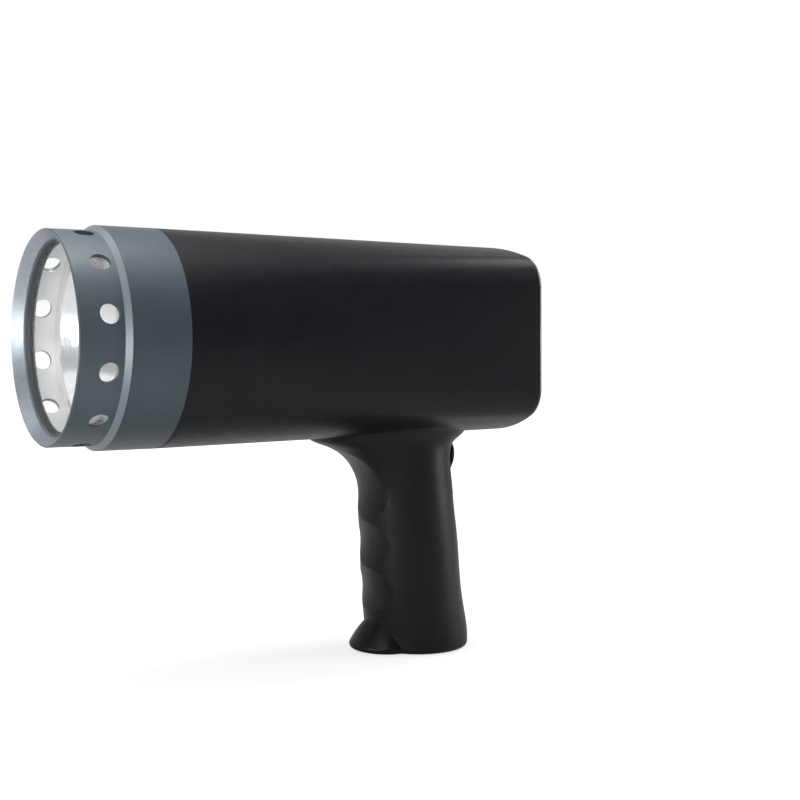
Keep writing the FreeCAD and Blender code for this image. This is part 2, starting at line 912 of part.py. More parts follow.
def rear_panel():
    """The moulded panel: an edge flange in the housing's groove and bosses behind."""
    groove_x = panel_back_x - panel_flange
    plate = outline_prism(panel_back_x, panel_x, rim_width + fit)
    flange = outline_prism(groove_x + running, panel_back_x, panel_flange_inset)
    inside = outline_prism(groove_x - overrun, panel_back_x, ledge_inset + slack)
    panel = plate.fuse(flange.cut(inside))
    for side, rise in boss_places():
        boss = bar(control_board_x + board_thickness, panel_back_x, boss_radius, side, rise)
        panel = panel.fuse(boss)
    panel = panel.cut(panel_openings(panel_back_x - overrun, panel_x + overrun, fit))
    for side, rise in boss_places():
        pilot = bar(control_board_x, control_board_x + board_thickness + board_screw_bite,
                    board_screw_radius + running, side, rise)
        panel = panel.cut(pilot)
    return panel


def panel_overlay():
    """The pale front film on the panel."""
    film = outline_prism(panel_x, overlay_x, rim_width + fit)
    return film.cut(panel_openings(panel_x - overrun, overlay_x + overrun, fit))


def display_frame():
    """The dark rim round the display window."""
    top_x = overlay_x + frame_proud
    frame = rounded_plate(top_x - frame_thickness, top_x, frame_width, frame_height, frame_corner, 0.0,
                          display_rise)
    centre = display_rise - (frame_height - display_height) / 4
    opening = rounded_plate(top_x - frame_thickness - overrun, top_x + overrun, display_width,
                            display_height, frame_corner / 2, 0.0, centre)
    return frame.cut(opening)


def display_window():
    """The clear pane behind the rim."""
    end_x = overlay_x + frame_proud - frame_thickness
    return rounded_plate(end_x - window_thickness, end_x, frame_width, frame_height, frame_corner, 0.0,
                         display_rise)


def module_front_x():
    """Where the display starts: behind both the pane and the panel."""
    pane_back_x = overlay_x + frame_proud - frame_thickness - window_thickness
    return min(pane_back_x, panel_back_x) - running


def display_module():
    """The liquid crystal cell with its backing, between the panel and the control board."""
    end_x = module_front_x()
    return rounded_plate(end_x - module_thickness, end_x, module_width, module_height, frame_corner, 0.0,
                         display_rise)


def module_pins():
    """Two rows of pins from the display to the control board."""
    end_x = module_front_x() - module_thickness
    pins = []
    for edge in (-1, 1):
        rise = display_rise + edge * (module_height / 2 - pin_margin)
        for index in range(pin_count):
            side = (index - (pin_count - 1) / 2) * pin_pitch
            pins.append(bar(control_board_x + board_thickness, end_x, pin_radius, side, rise))
    return Part.makeCompound(pins)


# Control board

def control_board():
    """The board on the panel's bosses."""
    end_x = control_board_x + board_thickness
    board = outline_prism(control_board_x, end_x, control_board_inset)
    for side, rise in boss_places():
        hole = bar(control_board_x - overrun, end_x + overrun, board_screw_radius + fit, side, rise)
        board = board.cut(hole)
    return board


def control_board_screws():
    """Screws through the board into the bosses."""
    screws = []
    for side, rise in boss_places():
        head_x = control_board_x - board_screw_head_length
        head_piece = bar(head_x, control_board_x, board_screw_head, side, rise)
        shank = bar(control_board_x, control_board_x + board_thickness + board_screw_bite - fit,
                    board_screw_radius, side, rise)
        screws.append(join([head_piece, shank]))
    return Part.makeCompound(screws)


def key_switches():
    """Four tactile switches under the keys."""
    start_x = control_board_x + board_thickness
    switches = []
    for side, rise in key_places():
        body = rounded_plate(start_x, start_x + tact_height, tact_side, tact_side, tact_corner, side, rise)
        plunger = bar(start_x + tact_height, start_x + tact_height + tact_plunger, tact_plunger_radius,
                      side, rise)
        switches.append(join([body, plunger]))
    return Part.makeCompound(switches)


def key_piece(side, rise):
    """A key cap with a catch flange behind the panel and a stem towards its switch."""
    cap = rounded_plate(panel_back_x - running, overlay_x + key_proud, key_width, key_height, key_corner,
                        side, rise)
    cap = rounded(cap, key_edge, overlay_x + key_proud, "X")
    flange_end = panel_back_x - running
    flange = rounded_plate(flange_end - key_flange, flange_end, key_width + 2 * key_flange_overhang,
                           key_height + 2 * key_flange_overhang, key_corner + key_flange_overhang, side, rise)
    stem_x = control_board_x + board_thickness + tact_height + tact_plunger + key_travel + fit
    stem = bar(stem_x, flange_end, key_stem_radius, side, rise)
    return join([cap, flange, stem])


def pot_body(side, rise):
    """A potentiometer with a threaded bush through the panel."""
    start_x = control_board_x + board_thickness + pot_standoff
    end_x = panel_back_x - running
    body = bar(start_x, end_x, pot_radius, side, rise)
    bush = bar(end_x, overlay_x + bush_proud, bush_radius, side, rise)
    lugs = []
    for index in (-1, 0, 1):
        lug_side = side + index * pot_lug_spacing
        lugs.append(bar(control_board_x + board_thickness, start_x, pot_lug_radius, lug_side, rise))
    bore = bar(start_x + pot_floor, overlay_x + bush_proud + overrun, shaft_radius + running, side, rise)
    return join([body, bush] + lugs).cut(bore)


def pot_shaft(side, rise):
    """The turning shaft from inside the potentiometer up into the knob."""
    start_x = control_board_x + board_thickness + pot_standoff + pot_floor + fit
    end_x = overlay_x + knob_gap + knob_height - knob_cap_wall
    return bar(start_x, end_x, shaft_radius, side, rise)


def pot_nuts():
    """A hexagon nut on each bush."""
    nuts = []
    for side, rise in knob_places():
        points = []
        radius = nut_flats / 2 / math.cos(math.pi / nut_sides)
        for index in range(nut_sides):
            angle = 2 * math.pi * index / nut_sides
            corner = (side + radius * math.cos(angle), rise + radius * math.sin(angle))
            points.append(on_axis(overlay_x, *corner))
        prism = Part.Face(Part.makePolygon(points + points[:1])).extrude(Vector(nut_thickness, 0, 0))
        nuts.append(prism.cut(bar(overlay_x - overrun, rear_x + overrun, bush_radius + running, side, rise)))
    return Part.makeCompound(nuts)


def fluted_wire(x, radius, depth, side, rise):
    """A closed zigzag round a circle."""
    points = []
    count = 2 * knob_flute_count
    for index in range(count):
        angle = 2 * math.pi * index / count
        reach = radius - depth * (index % 2)
        points.append(on_axis(x, side + reach * math.cos(angle), rise + reach * math.sin(angle)))
    return Part.makePolygon(points + points[:1])


def knob(side, rise):
    """A tapered, fluted knob with a plain top, hollow beneath over the nut."""
    base_x = overlay_x + knob_gap
    top_x = base_x + knob_height
    skirt_x = base_x + knob_skirt
    skirt = bar(base_x, skirt_x, knob_base_radius, side, rise)
    cone = Part.makeLoft([
        fluted_wire(skirt_x, knob_base_radius - knob_flute_depth / 2, knob_flute_depth, side, rise),
        fluted_wire(top_x - knob_bevel, knob_top_radius, knob_flute_depth, side, rise),
    ], True, True)
    crown = Part.makeCone(knob_top_radius - knob_flute_depth, knob_top_radius - knob_flute_depth - knob_bevel,
                          knob_bevel, on_axis(top_x - knob_bevel, side, rise), Vector(1, 0, 0))
    body = skirt.fuse(cone).fuse(crown)
    recess = bar(base_x - overrun, base_x + knob_recess_depth, knob_recess_radius, side, rise)
    bore = bar(base_x, top_x - knob_cap_wall + running, shaft_radius + running, side, rise)
    return body.cut(recess).cut(bore)


def trigger_jack():
    """A socket for a 3.5 mm plug, body on the board and round nose through the panel."""
    start_x = control_board_x + board_thickness
    end_x = panel_back_x - running
    body = rounded_plate(start_x, end_x, jack_body, jack_body, jack_corner, jack_side, -jack_drop)
    nose = bar(end_x, overlay_x + jack_nose_proud, jack_nose_radius, jack_side, -jack_drop)
    mouth_x = overlay_x + jack_nose_proud + overrun
    bore = bar(start_x + jack_floor, mouth_x, jack_bore_radius, jack_side, -jack_drop)
    return join([body, nose]).cut(bore)


# Rocker switch, drawn along +Z with the land at zero

def switch_housing():
    """Round body with a bevelled flange, a bore for the rocker and holes for its pins."""
    flange = Part.makeCylinder(flange_radius, flange_thickness - flange_bevel)
    rim = Part.makeCone(flange_radius, flange_radius - flange_bevel, flange_bevel,
                        Vector(0, 0, flange_thickness - flange_bevel))
    body = Part.makeCylinder(barrel_radius, barrel_depth, Vector(0, 0, -barrel_depth))
    floor = Vector(0, 0, -rocker_bore_depth)
    bore = Part.makeCylinder(rocker_bore_radius, rocker_bore_depth + overrun, floor)
    pin = Part.makeCylinder(rocker_pin_radius + rocker_pin_clearance, 2 * flange_radius,
                            Vector(0, -flange_radius, 0), Vector(0, 1, 0))
    return on_land(join([flange, rim, body]).cut(bore).cut(pin))


def switch_rocker():
    """A ball zone on two pins, with a shallow valley across its top, its upper half out."""
    ball = Part.makeSphere(rocker_radius)
    swing = math.radians(rocker_swing)
    reach = 2 * rocker_radius
    centre = Vector(0, 0, flange_thickness)
    rise = reach * math.tan(swing)
    corners = [
        Vector(-reach, -reach, -rocker_bottom),
        Vector(reach, -reach, -rocker_bottom),
        Vector(reach, -reach, flange_thickness + rise),
        Vector(0, -reach, centre.z),
        Vector(-reach, -reach, flange_thickness + rise),
    ]
    zone = Part.Face(Part.makePolygon(corners + corners[:1])).extrude(Vector(0, 2 * reach, 0))
    pin = Part.makeCylinder(rocker_pin_radius, 2 * (rocker_bore_radius + rocker_pin_bite),
                            Vector(0, -rocker_bore_radius - rocker_pin_bite, 0), Vector(0, 1, 0))
    rocker = ball.common(zone).fuse(pin)
    rocker.rotate(Vector(0, 0, 0), Vector(0, 1, 0), rocker_swing)
    return on_land(rocker)


def switch_terminals():
    """Two blades out of the switch's back."""
    blades = []
    for side in (-1, 1):
        centre = side * terminal_spacing / 2
        blade = Part.makeBox(terminal_thickness, terminal_width, terminal_length,
                             Vector(centre - terminal_thickness / 2, -terminal_width / 2,
                                    -barrel_depth - terminal_length))
        blades.append(on_land(blade))
    return Part.makeCompound(blades)


# Flash board

def board_top():
    """Height of the flash board's upper face."""
    return axis_height - main_board_drop


def main_board():
    """The flash board in the ribs of the half shells."""
    half = main_board_width / 2
    return block(front_x + main_board_start, front_x + main_board_end, -half, half,
                 board_top() - board_thickness, board_top())


def storage_capacitors():
    """Two upright cans with a rolled neck."""
    cans = []
    for side in (-1, 1):
        base = Vector(front_x + capacitor_station, side * capacitor_side, board_top())
        low = Part.makeCylinder(capacitor_radius, capacitor_neck, base)
        neck = Part.makeCylinder(capacitor_radius - capacitor_groove, capacitor_groove_height,
                                 base + Vector(0, 0, capacitor_neck))
        top_start = capacitor_neck + capacitor_groove_height
        top = Part.makeCylinder(capacitor_radius, capacitor_height - top_start,
                                base + Vector(0, 0, top_start))
        cans.append(join([low, neck, top]))
    return Part.makeCompound(cans)


def inverter_core():
    """A ferrite frame of two side limbs and a centre limb."""
    x_start = front_x + core_station
    base = board_top()
    frame = block(x_start, x_start + core_length, -core_width / 2, core_width / 2, base, base + core_height)
    for side in (-1, 1):
        low = side * core_limb / 2
        high = side * (core_width / 2 - core_limb / 2)
        window = block(x_start - overrun, x_start + core_length + overrun, min(low, high), max(low, high),
                       base + core_limb, base + core_height - core_limb)
        frame = frame.cut(window)
    return frame


def inverter_winding():
    """The winding round the core's centre limb."""
    x_start = front_x + core_station
    base = board_top()
    half = core_width / 2 - core_limb / 2 - fit
    low = base + core_limb + fit
    high = base + core_height - core_limb - fit
    outer = block(x_start - winding_bulge, x_start + core_length + winding_bulge, -half, half, low, high)
    inner = block(x_start - fit, x_start + core_length + fit, -core_limb / 2 - fit, core_limb / 2 + fit,
                  low - overrun, high + overrun)
    return outer.cut(inner)


def trigger_coil():
    """A small upright coil with two flanges."""
    base = Vector(front_x + coil_station, -coil_side, board_top())
    core = Part.makeCylinder(coil_radius - coil_flange, coil_height, base)
    low = Part.makeCylinder(coil_radius, coil_flange, base)
    high = Part.makeCylinder(coil_radius, coil_flange, base + Vector(0, 0, coil_height - coil_flange))
    return join([core, low, high])


def heat_sink():
    """A finned sink on the power transistor."""
    x_start = front_x + sink_station
    base = board_top()
    plate = block(x_start, x_start + sink_length, sink_side, sink_side + sink_fin, base, base + sink_height)
    pieces = [plate]
    step = (sink_length - sink_fin) / (sink_fin_count - 1)
    for index in range(sink_fin_count):
        fin_x = x_start + index * step
        pieces.append(block(fin_x, fin_x + sink_fin, sink_side, sink_side + sink_width,
                            base, base + sink_height))
    return join(pieces)


# Battery and charging socket

def cell_places():
    """Sideways places of the two cells."""
    return [-cell_spacing / 2, cell_spacing / 2]


def battery_cells():
    """Two cylindrical cells with raised tops."""
    cells = []
    centre = cell_centre()
    for side in cell_places():
        base = Vector(centre, side, cell_bottom)
        can = Part.makeCylinder(cell_radius, cell_length, base)
        top = Part.makeCylinder(cell_terminal_radius, cell_terminal_length, base + Vector(0, 0, cell_length))
        cells.append(join([can, top]))
    return Part.makeCompound(cells)


def cell_centre():
    """Fore and aft place of the cells, on the grip's centre line at their middle."""
    return grip_size(cell_bottom + cell_length / 2, 0.0)[0] - cell_forward


def battery_cradle():
    """End plates that fit the grip's hollow, joined by a web behind the cells."""
    half = cell_spacing / 2 + cell_radius
    web_x = cell_centre() + cell_radius + fit
    top = cell_bottom + cell_length + cell_terminal_length + fit
    pieces = [block(web_x, web_x + cradle_wall, -half, half, cell_bottom - cradle_end, top + cradle_end)]
    for z_start in (cell_bottom - cradle_end, top):
        low = grip_section(z_start, housing_wall + slack, False, groove_depth)
        high = grip_section(z_start + cradle_end, housing_wall + slack, False, groove_depth)
        pieces.append(Part.makeLoft([low, high], True, True))
    cradle = join(pieces)
    reach = post_radius + slack
    for x, z in case_screw_places()[:len(grip_screw_heights)]:
        cradle = cradle.cut(block(x - reach, rear_x, -rear_width, rear_width, z - reach, z + reach))
    return cradle


def charge_socket():
    """A barrel socket held between the half shells in the floor of the grip."""
    base = Vector(charge_offset, 0, charge_recess)
    full = charge_body_height - charge_recess
    flange = Part.makeCylinder(charge_flange_radius, charge_flange_thickness - charge_recess, base)
    body = Part.makeCylinder(charge_body_radius, full, base)
    bore = Part.makeCylinder(charge_bore_radius, full - charge_floor, base)
    pin = Part.makeCylinder(charge_pin_radius, full - charge_pin_set, base + Vector(0, 0, charge_pin_set))
    return flange.fuse(body).cut(bore).fuse(pin).removeSplitter()


# Building and writing every piece

os.makedirs("parts", exist_ok=True)

left_half, right_half = housing_halves()
gasket, lens, snap_ring = lens_pieces()
pieces = {
    "front_bezel": lamp_ring(),
    "lens_gasket": gasket,
    "front_lens": lens,
    "lens_retaining_ring": snap_ring,
    "reflector": reflector(),
    "reflector_carrier": reflector_carrier(),
    "lamp_socket": lamp_socket(),
    "flash_tube": flash_tube(),
    "tube_electrodes": tube_electrodes(),
    "left_housing": left_half,
    "right_housing": right_half,
    "housing_screws": case_screws(),
    "switch_housing": switch_housing(),
    "switch_rocker": switch_rocker(),
    "switch_terminals": switch_terminals(),
    "main_board": main_board(),
    "storage_capacitors": storage_capacitors(),
    "inverter_core": inverter_core(),
    "inverter_winding": inverter_winding(),
    "trigger_coil": trigger_coil(),
    "heat_sink": heat_sink(),
    "battery_cells": battery_cells(),
    "battery_cradle": battery_cradle(),
    "charge_socket": charge_socket(),
}
panel_pieces = {
    "rear_panel": rear_panel(),
    "panel_overlay": panel_overlay(),
    "display_frame": display_frame(),
    "display_window": display_window(),
    "display_module": display_module(),
    "display_pins": module_pins(),
    "control_board": control_board(),
    "control_board_screws": control_board_screws(),
    "key_switches": key_switches(),
    "pot_nuts": pot_nuts(),
    "trigger_jack": trigger_jack(),
}
for name, place in zip(("key_double", "key_trigger", "key_halve", "key_range"), key_places()):
    panel_pieces[name] = key_piece(*place)
for name, place in zip(("fine", "coarse"), knob_places()):
    panel_pieces[name + "_pot"] = pot_body(*place)
    panel_pieces[name + "_pot_shaft"] = pot_shaft(*place)
    panel_pieces[name + "_knob"] = knob(*place)

for node, shape in pieces.items():
    save(node, shape)
for node, shape in panel_pieces.items():
    save(node, tilted(shape))
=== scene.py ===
import json
import math

import bmesh
import bpy
from mathutils import Matrix, Vector
from mathutils.bvhtree import BVHTree


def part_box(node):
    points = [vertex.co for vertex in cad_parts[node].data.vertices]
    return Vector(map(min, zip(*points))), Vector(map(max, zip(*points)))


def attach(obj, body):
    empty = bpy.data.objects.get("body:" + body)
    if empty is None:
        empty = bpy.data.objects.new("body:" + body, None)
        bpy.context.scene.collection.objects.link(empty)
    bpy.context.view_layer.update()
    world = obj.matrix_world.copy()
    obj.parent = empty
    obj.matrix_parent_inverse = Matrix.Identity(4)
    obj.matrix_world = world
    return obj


# Camera, in metres and degrees of the row frame
CAMERA_PLACE = Vector((-0.3687, -0.5917, 0.1689))
CAMERA_YAW = -31.08
CAMERA_RISE = 4.35
CAMERA_ROLL = 1.47
CAMERA_LENS = 66.92
SENSOR = 36.0

# Weak light inside the lamp, for the daylight that its bowl gathers, in metres and watts
LAMP_FILL_DEPTH = 0.016
LAMP_FILL_RADIUS = 0.009
LAMP_FILL_POWER = 0.006

# Soft lights: name, place, point aimed at, width, height, watts and colour
OBJECT_CENTRE = (-0.07, 0.0, 0.12)
WHITE = (1.0, 1.0, 1.0)
COOL_WHITE = (0.94, 0.98, 1.0)
SOFT_LIGHTS = [
    ("overhead", (-0.30, 0.02, 1.0), OBJECT_CENTRE, 1.3, 1.2, 4.8, WHITE),
    ("above_lamp", (-0.18, 0.05, 0.60), (-0.16, 0.0, 0.16), 0.10, 0.30, 2.1, WHITE),
    ("before_grip", (-0.52, -0.22, 0.05), (-0.02, 0.0, 0.05), 0.12, 0.16, 0.5, WHITE),
    ("above_panel", (0.42, 0.05, 0.66), (0.03, 0.0, 0.12), 0.32, 0.16, 0.95, WHITE),
    ("strip_before_lamp", (-0.95, -0.46, 0.13), OBJECT_CENTRE, 0.2, 0.36, 1.5, WHITE),
    ("front_left", (-0.55, -0.75, 0.55), OBJECT_CENTRE, 0.4, 0.5, 2.2, WHITE),
    ("right_side", (0.75, -0.30, 0.35), OBJECT_CENTRE, 0.35, 0.8, 4.1, COOL_WHITE),
]

# Floor, in metres, with its glow under the object and the share that reflections see
FLOOR_SIZE = 12.0
FLOOR_DROP = 0.0002
FLOOR_PLAIN_RADIUS = 0.25
FLOOR_WHITE_RADIUS = 0.75
FLOOR_GLOW = 0.66
FLOOR_MIRRORED = 0.22

# Strengths of the sky as the object sees it
SKY_DIM = 0.11
SKY_BEHIND = 0.75
SKY_BEFORE_LAMP = 0.50
SKY_OVERHEAD_SHARE = 0.4

# Zones of the lamp ring, in metres: stations behind its front and radii from its axis
LIP_END = 0.0078
SHOULDER_START = 0.0188
SHOULDER_END = 0.0210
LIP_PAINT_RADIUS = 0.04395
BORE_PAINT_RADIUS = 0.04280
GLASS_BAND_OVERLAP = 0.00005

# Glossy rim of the case, whose lighter grey is painted sheen, in metres under the panel's film
RIM_START_DEPTH = 0.0006
RIM_FULL_DEPTH = 0.0002

# Seam of the half shells: it closes by this share between these drops below the lamp axis
SEAM_HALF_WIDTH = 0.00017
SEAM_CLOSED_SHARE = 0.75
SEAM_OPEN_DROP = 0.035
SEAM_CLOSED_DROP = 0.060

# Soft shading of the neck, in metres: it sets in between each pair of distances from the middle
# plane or drops below the lamp axis
SOFT_NECK_RADIUS = 0.004
SOFT_NECK_ASIDE = (0.004, 0.010)
SOFT_NECK_FOOT = (0.080, 0.070)
SOFT_NECK_TOP = (0.030, 0.020)

# Colours of the lamp ring and its glass, dark and light where they wander, and metallic shares
COLLAR_PAINT = ((0.028, 0.047, 0.059), (0.033, 0.054, 0.067))
# The vented ring's paint is lighter than the collar's: painted light, for the light that falls on the front of the
# lamp.
RING_PAINT_PAINTED_LIGHT = ((0.047, 0.069, 0.082), (0.054, 0.078, 0.092))
# The shoulder's colour is lighter than the paint: painted sheen from a light at the front left, on a band that is
# also partly bare metal (SHOULDER_BARE_SHARE).
SHOULDER_PAINTED_SHEEN = (0.17, 0.195, 0.215)
SHOULDER_BARE_SHARE = 0.28
TURNED_SILVER = ((0.345, 0.385, 0.420), (0.400, 0.440, 0.475))
PALE_WALL = ((0.76, 0.76, 0.75), (0.82, 0.82, 0.81))
PALE_WALL_METALLIC = 0.6
GLASS_BAND_COLOUR = (0.060, 0.070, 0.082)

# Thin printed and moulded marks, in millimetres and degrees
MM = 0.001
PRINT_THICKNESS = 0.03
PRINT_LIFT = 0.01
DIGIT_HEIGHT = 12.3
DIGIT_WIDTH = 5.4
DIGIT_PITCH = 8.67
DIGIT_STROKE = 1.75
DIGIT_GAP = 0.1
DIGIT_SLANT = 0.0875
DIGIT_DROP = 0.75
DIGIT_RIGHT = 16.15
SHOWN_NUMBER = "1200"
SEGMENTS = {
    "0": "abcdef", "1": "bc", "2": "abdeg", "3": "abcdg", "4": "bcfg",
    "5": "acdfg", "6": "acdefg", "7": "abc", "8": "abcdefg", "9": "abcdfg",
}
TURN_SYMBOL_PLACE = (21.1, 1.7)
TURN_SYMBOL_RADIUS = 1.15
ARC_RADIUS = 12.4
ARC_HALF_ANGLE = 30.0
ARC_STROKE = 0.32
ARROW_LENGTH = 1.9
ARROW_WIDTH = 1.3
SIGN_SIDE = 7.4
SIGN_RISE = 9.0
SIGN_SIZE = 1.4
SIGN_STROKE = 0.32
TICK_RISE = 14.4
TICK_HEIGHT = 1.5
TICK_STROKE = 0.28
FINE_TICKS = 9
FINE_TICK_PITCH = 0.85
COARSE_TICKS = 5
COARSE_TICK_PITCH = 2.9
PULSE_ROW_RISE = 30.9
PULSE_ROW_WIDTH = 38.6
PULSE_ROW_HEIGHT = 2.6
PULSES = 9
PULSE_SHARE = 0.35
FLASH_ROW_PLACE = (-18.8, -5.1)
FLASH_PITCH = 3.1
FLASHES = 6
FLASH_HEIGHT = 2.7
FLASH_WIDTH = 1.5
INPUT_MARK_PLACE = (14.4, -32.4)
INPUT_MARK_WIDTH = 5.4
INPUT_MARK_HEIGHT = 2.1
PRINT_STROKE = 0.38
KEY_MARK_HEIGHT = 2.5
KEY_MARK_STROKE = 0.5
KEY_MARK_SIDE = 1.35
KEY_CROSS_SHARE = 0.62
KEY_DIVIDE_SHARE = 0.75
KEY_PULSE = [(-2.6, -0.8), (-1.0, -0.8), (-1.0, 0.8), (1.0, 0.8), (1.0, -0.8), (2.6, -0.8)]
KEY_ARROW_HALF = 1.4
KEY_ARROW_WIDTH = 1.9
POINTER_START = 5.4
POINTER_END = 7.1
POINTER_WIDTH = 0.6
POINTER_ANGLE = 41.0
DOT_DISTANCE = 7.4
DOT_ANGLE = 217.0
DOT_RADIUS = 0.5
ON_MARK_RISE = 3.2
ON_MARK_HEIGHT = 2.9
ON_MARK_WIDTH = 0.8
OFF_MARK_RISE = -3.1
OFF_MARK_RADIUS = 1.7
OFF_MARK_LINE = 0.7
RECESS_ARM = 1.05
RECESS_WIDTH = 0.42

# How far outside a piece the search for its surface starts, in metres
FINDER_REACH = 0.02

# Shared numbers of the materials: noise scales in features per metre, bump depths in metres
PLASTIC_GRAIN = 2600.0
PLASTIC_DEPTH = 0.00006
METAL_STREAKS = 900.0
METAL_DEPTH = 0.00004
GLASS_SMEARS = 45.0

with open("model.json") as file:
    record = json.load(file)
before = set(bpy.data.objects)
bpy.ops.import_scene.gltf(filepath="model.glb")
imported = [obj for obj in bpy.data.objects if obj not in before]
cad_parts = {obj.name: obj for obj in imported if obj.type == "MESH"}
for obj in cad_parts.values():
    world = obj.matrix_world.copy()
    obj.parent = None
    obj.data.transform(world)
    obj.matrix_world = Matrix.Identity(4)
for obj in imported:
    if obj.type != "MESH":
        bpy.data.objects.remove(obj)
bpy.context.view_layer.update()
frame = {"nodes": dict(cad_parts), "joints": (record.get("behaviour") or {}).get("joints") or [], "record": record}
nodes = frame["nodes"]
joints = {joint["name"]: joint for joint in frame["joints"]}


# Places on the panel

PANEL_NORMAL = Vector(joints["fine_knob_turn"]["axis"])
PANEL_SIDE = Vector((0, 1, 0))
PANEL_UP = PANEL_NORMAL.cross(PANEL_SIDE)
FINE_KNOB = Vector(joints["fine_knob_turn"]["pos_m"])
COARSE_KNOB = Vector(joints["coarse_knob_turn"]["pos_m"])
ROCKER_PIVOT = Vector(joints["switch_rock"]["pos_m"])


def middle(node):
    """The centre of a node's box."""
    low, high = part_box(node)
    return (low + high) / 2


def extent(node, direction):
    """The least and greatest reach of a node along a direction."""
    reaches = [direction.dot(vertex.co) for vertex in nodes[node].data.vertices]
    return min(reaches), max(reaches)


def on_surface(point, direction, reach):
    """A point moved along a direction until it lies at a given reach."""
    return point + direction * (reach - direction.dot(point))


OVERLAY_REACH = PANEL_NORMAL.dot(FINE_KNOB)
LAMP_AXIS = middle("front_bezel").z
PANEL_ORIGIN = on_surface(Vector((FINE_KNOB.x, 0, LAMP_AXIS)), PANEL_NORMAL, OVERLAY_REACH)


def panel_place(side, rise):
    """A point on the panel's film, in millimetres from the lamp axis."""
    return PANEL_ORIGIN + (PANEL_SIDE * side + PANEL_UP * rise) * MM


def surface_finder(node):
    """Finds where a line along a direction meets a node from outside."""
    data = nodes[node].data
    tree = BVHTree.FromPolygons([v.co for v in data.vertices], [p.vertices for p in data.polygons])

    def find(point, direction):
        hit = tree.ray_cast(point + direction * FINDER_REACH, -direction)[0]
        return hit if hit is not None else point

    return find


# Marks: flat outlines in millimetres, set on a plane given by a centre and two directions

def outline_arc(centre, radius, start, end, steps):
    """Points along an arc, with angles in degrees."""
    points = []
    for index in range(steps + 1):
        angle = math.radians(start + (end - start) * index / steps)
        points.append((centre[0] + radius * math.cos(angle), centre[1] + radius * math.sin(angle)))
    return points


def stroke(points, width):
    """A line of even width through points, with mitred corners."""
    path = [Vector(p) for p in points]
    left = []
    right = []
    for index, point in enumerate(path):
        before = (point - path[index - 1]).normalized() if index else None
        after = (path[index + 1] - point).normalized() if index + 1 < len(path) else None
        along = ((before or after) + (after or before)).normalized()
        across = Vector((-along.y, along.x))
        mitre = across.dot(Vector((-(after or before).y, (after or before).x)))
        offset = across * width / 2 / max(mitre, 0.4)
        left.append(tuple(point + offset))
        right.append(tuple(point - offset))
    return right + left[::-1]


def disc_outline(centre, radius, steps=32):
    """A filled circle."""
    return outline_arc(centre, radius, 0, 360, steps)[:-1]


def moved(outline, place):
    """An outline moved in its plane."""
    return [(point[0] + place[0], point[1] + place[1]) for point in outline]


def arrow_head(place, direction, length, width):
    """A pointed head, with the middle of its base at a place."""
    base = Vector(place)
    along = Vector(direction).normalized()
    across = Vector((-along.y, along.x)) * width / 2
    return [tuple(base - across), tuple(base + along * length), tuple(base + across)]


def plus_outlines(place, size, width):
    """A plus made of one bar and two stubs."""
    half = size / 2
    parts = [[(-half, 0), (half, 0)], [(0, width / 2), (0, half)], [(0, -width / 2), (0, -half)]]
    return [moved(stroke(part, width), place) for part in parts]


def cross_outlines(place, size, width):
    """A diagonal cross made of one bar and two stubs."""
    half = size / 2
    near = width / 2 * math.sqrt(0.5)
    parts = [[(-half, -half), (half, half)], [(-near, near), (-half, half)],
             [(near, -near), (half, -half)]]
    return [moved(stroke(part, width), place) for part in parts]


def divide_outlines(place, size, width):
    """A bar with a dot above and below it."""
    parts = [stroke([(-size / 2, 0), (size / 2, 0)], width)]
    parts += [disc_outline((0, sign * size * 0.42), width * 0.62, 16) for sign in (1, -1)]
    return [moved(part, place) for part in parts]


def two_outline(place, height, width):
    """The figure two."""
    shape = [(-0.27, 0.26), (-0.22, 0.40), (-0.08, 0.49), (0.08, 0.49), (0.22, 0.40), (0.27, 0.24),
             (0.22, 0.08), (0.06, -0.12), (-0.27, -0.5), (0.3, -0.5)]
    return moved(stroke([(x * height, y * height) for x, y in shape], width), place)


def mark(name, outlines, rings, centre, axes, body, material, find=None):
    """A thin raised piece: filled outlines, and rings given as an outer and an inner outline."""
    right, up = axes
    out = right.cross(up)
    mesh = bpy.data.meshes.new(name)
    shape = bmesh.new()

    def placed(point, lift):
        flat = centre + (right * point[0] + up * point[1]) * MM
        if find is not None:
            flat = find(flat, out)
        return flat + out * lift * MM

    def band(first, second):
        for index in range(len(first)):
            following = (index + 1) % len(first)
            shape.faces.new((first[index], first[following], second[following], second[index]))

    for outline in outlines:
        low = [shape.verts.new(placed(p, -PRINT_LIFT)) for p in outline]
        high = [shape.verts.new(placed(p, PRINT_THICKNESS)) for p in outline]
        shape.faces.new(high)
        shape.faces.new(low[::-1])
        band(low, high)
    for outer, inner in rings:
        sides = ((outer, -PRINT_LIFT), (outer, PRINT_THICKNESS),
                 (inner, PRINT_THICKNESS), (inner, -PRINT_LIFT))
        loops = [[shape.verts.new(placed(p, lift)) for p in outline] for outline, lift in sides]
        for first, second in zip(loops, loops[1:] + loops[:1]):
            band(first, second)
    bmesh.ops.recalc_face_normals(shape, faces=shape.faces)
    shape.to_mesh(mesh)
    shape.free()
    piece = bpy.data.objects.new(name, mesh)
    bpy.context.scene.collection.objects.link(piece)
    mesh.materials.append(material)
    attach(piece, body)


# Materials

def new_material(name):
    """A new material, its node tree and its principled shader."""
    material = bpy.data.materials.new(name)
    material.use_nodes = True
    tree = material.node_tree
    shader = tree.nodes["Principled BSDF"]
    return material, tree, shader


def object_coordinates(tree):
    """The row frame's coordinates, which every piece shares at rest."""
    return tree.nodes.new("ShaderNodeTexCoord").outputs["Object"]


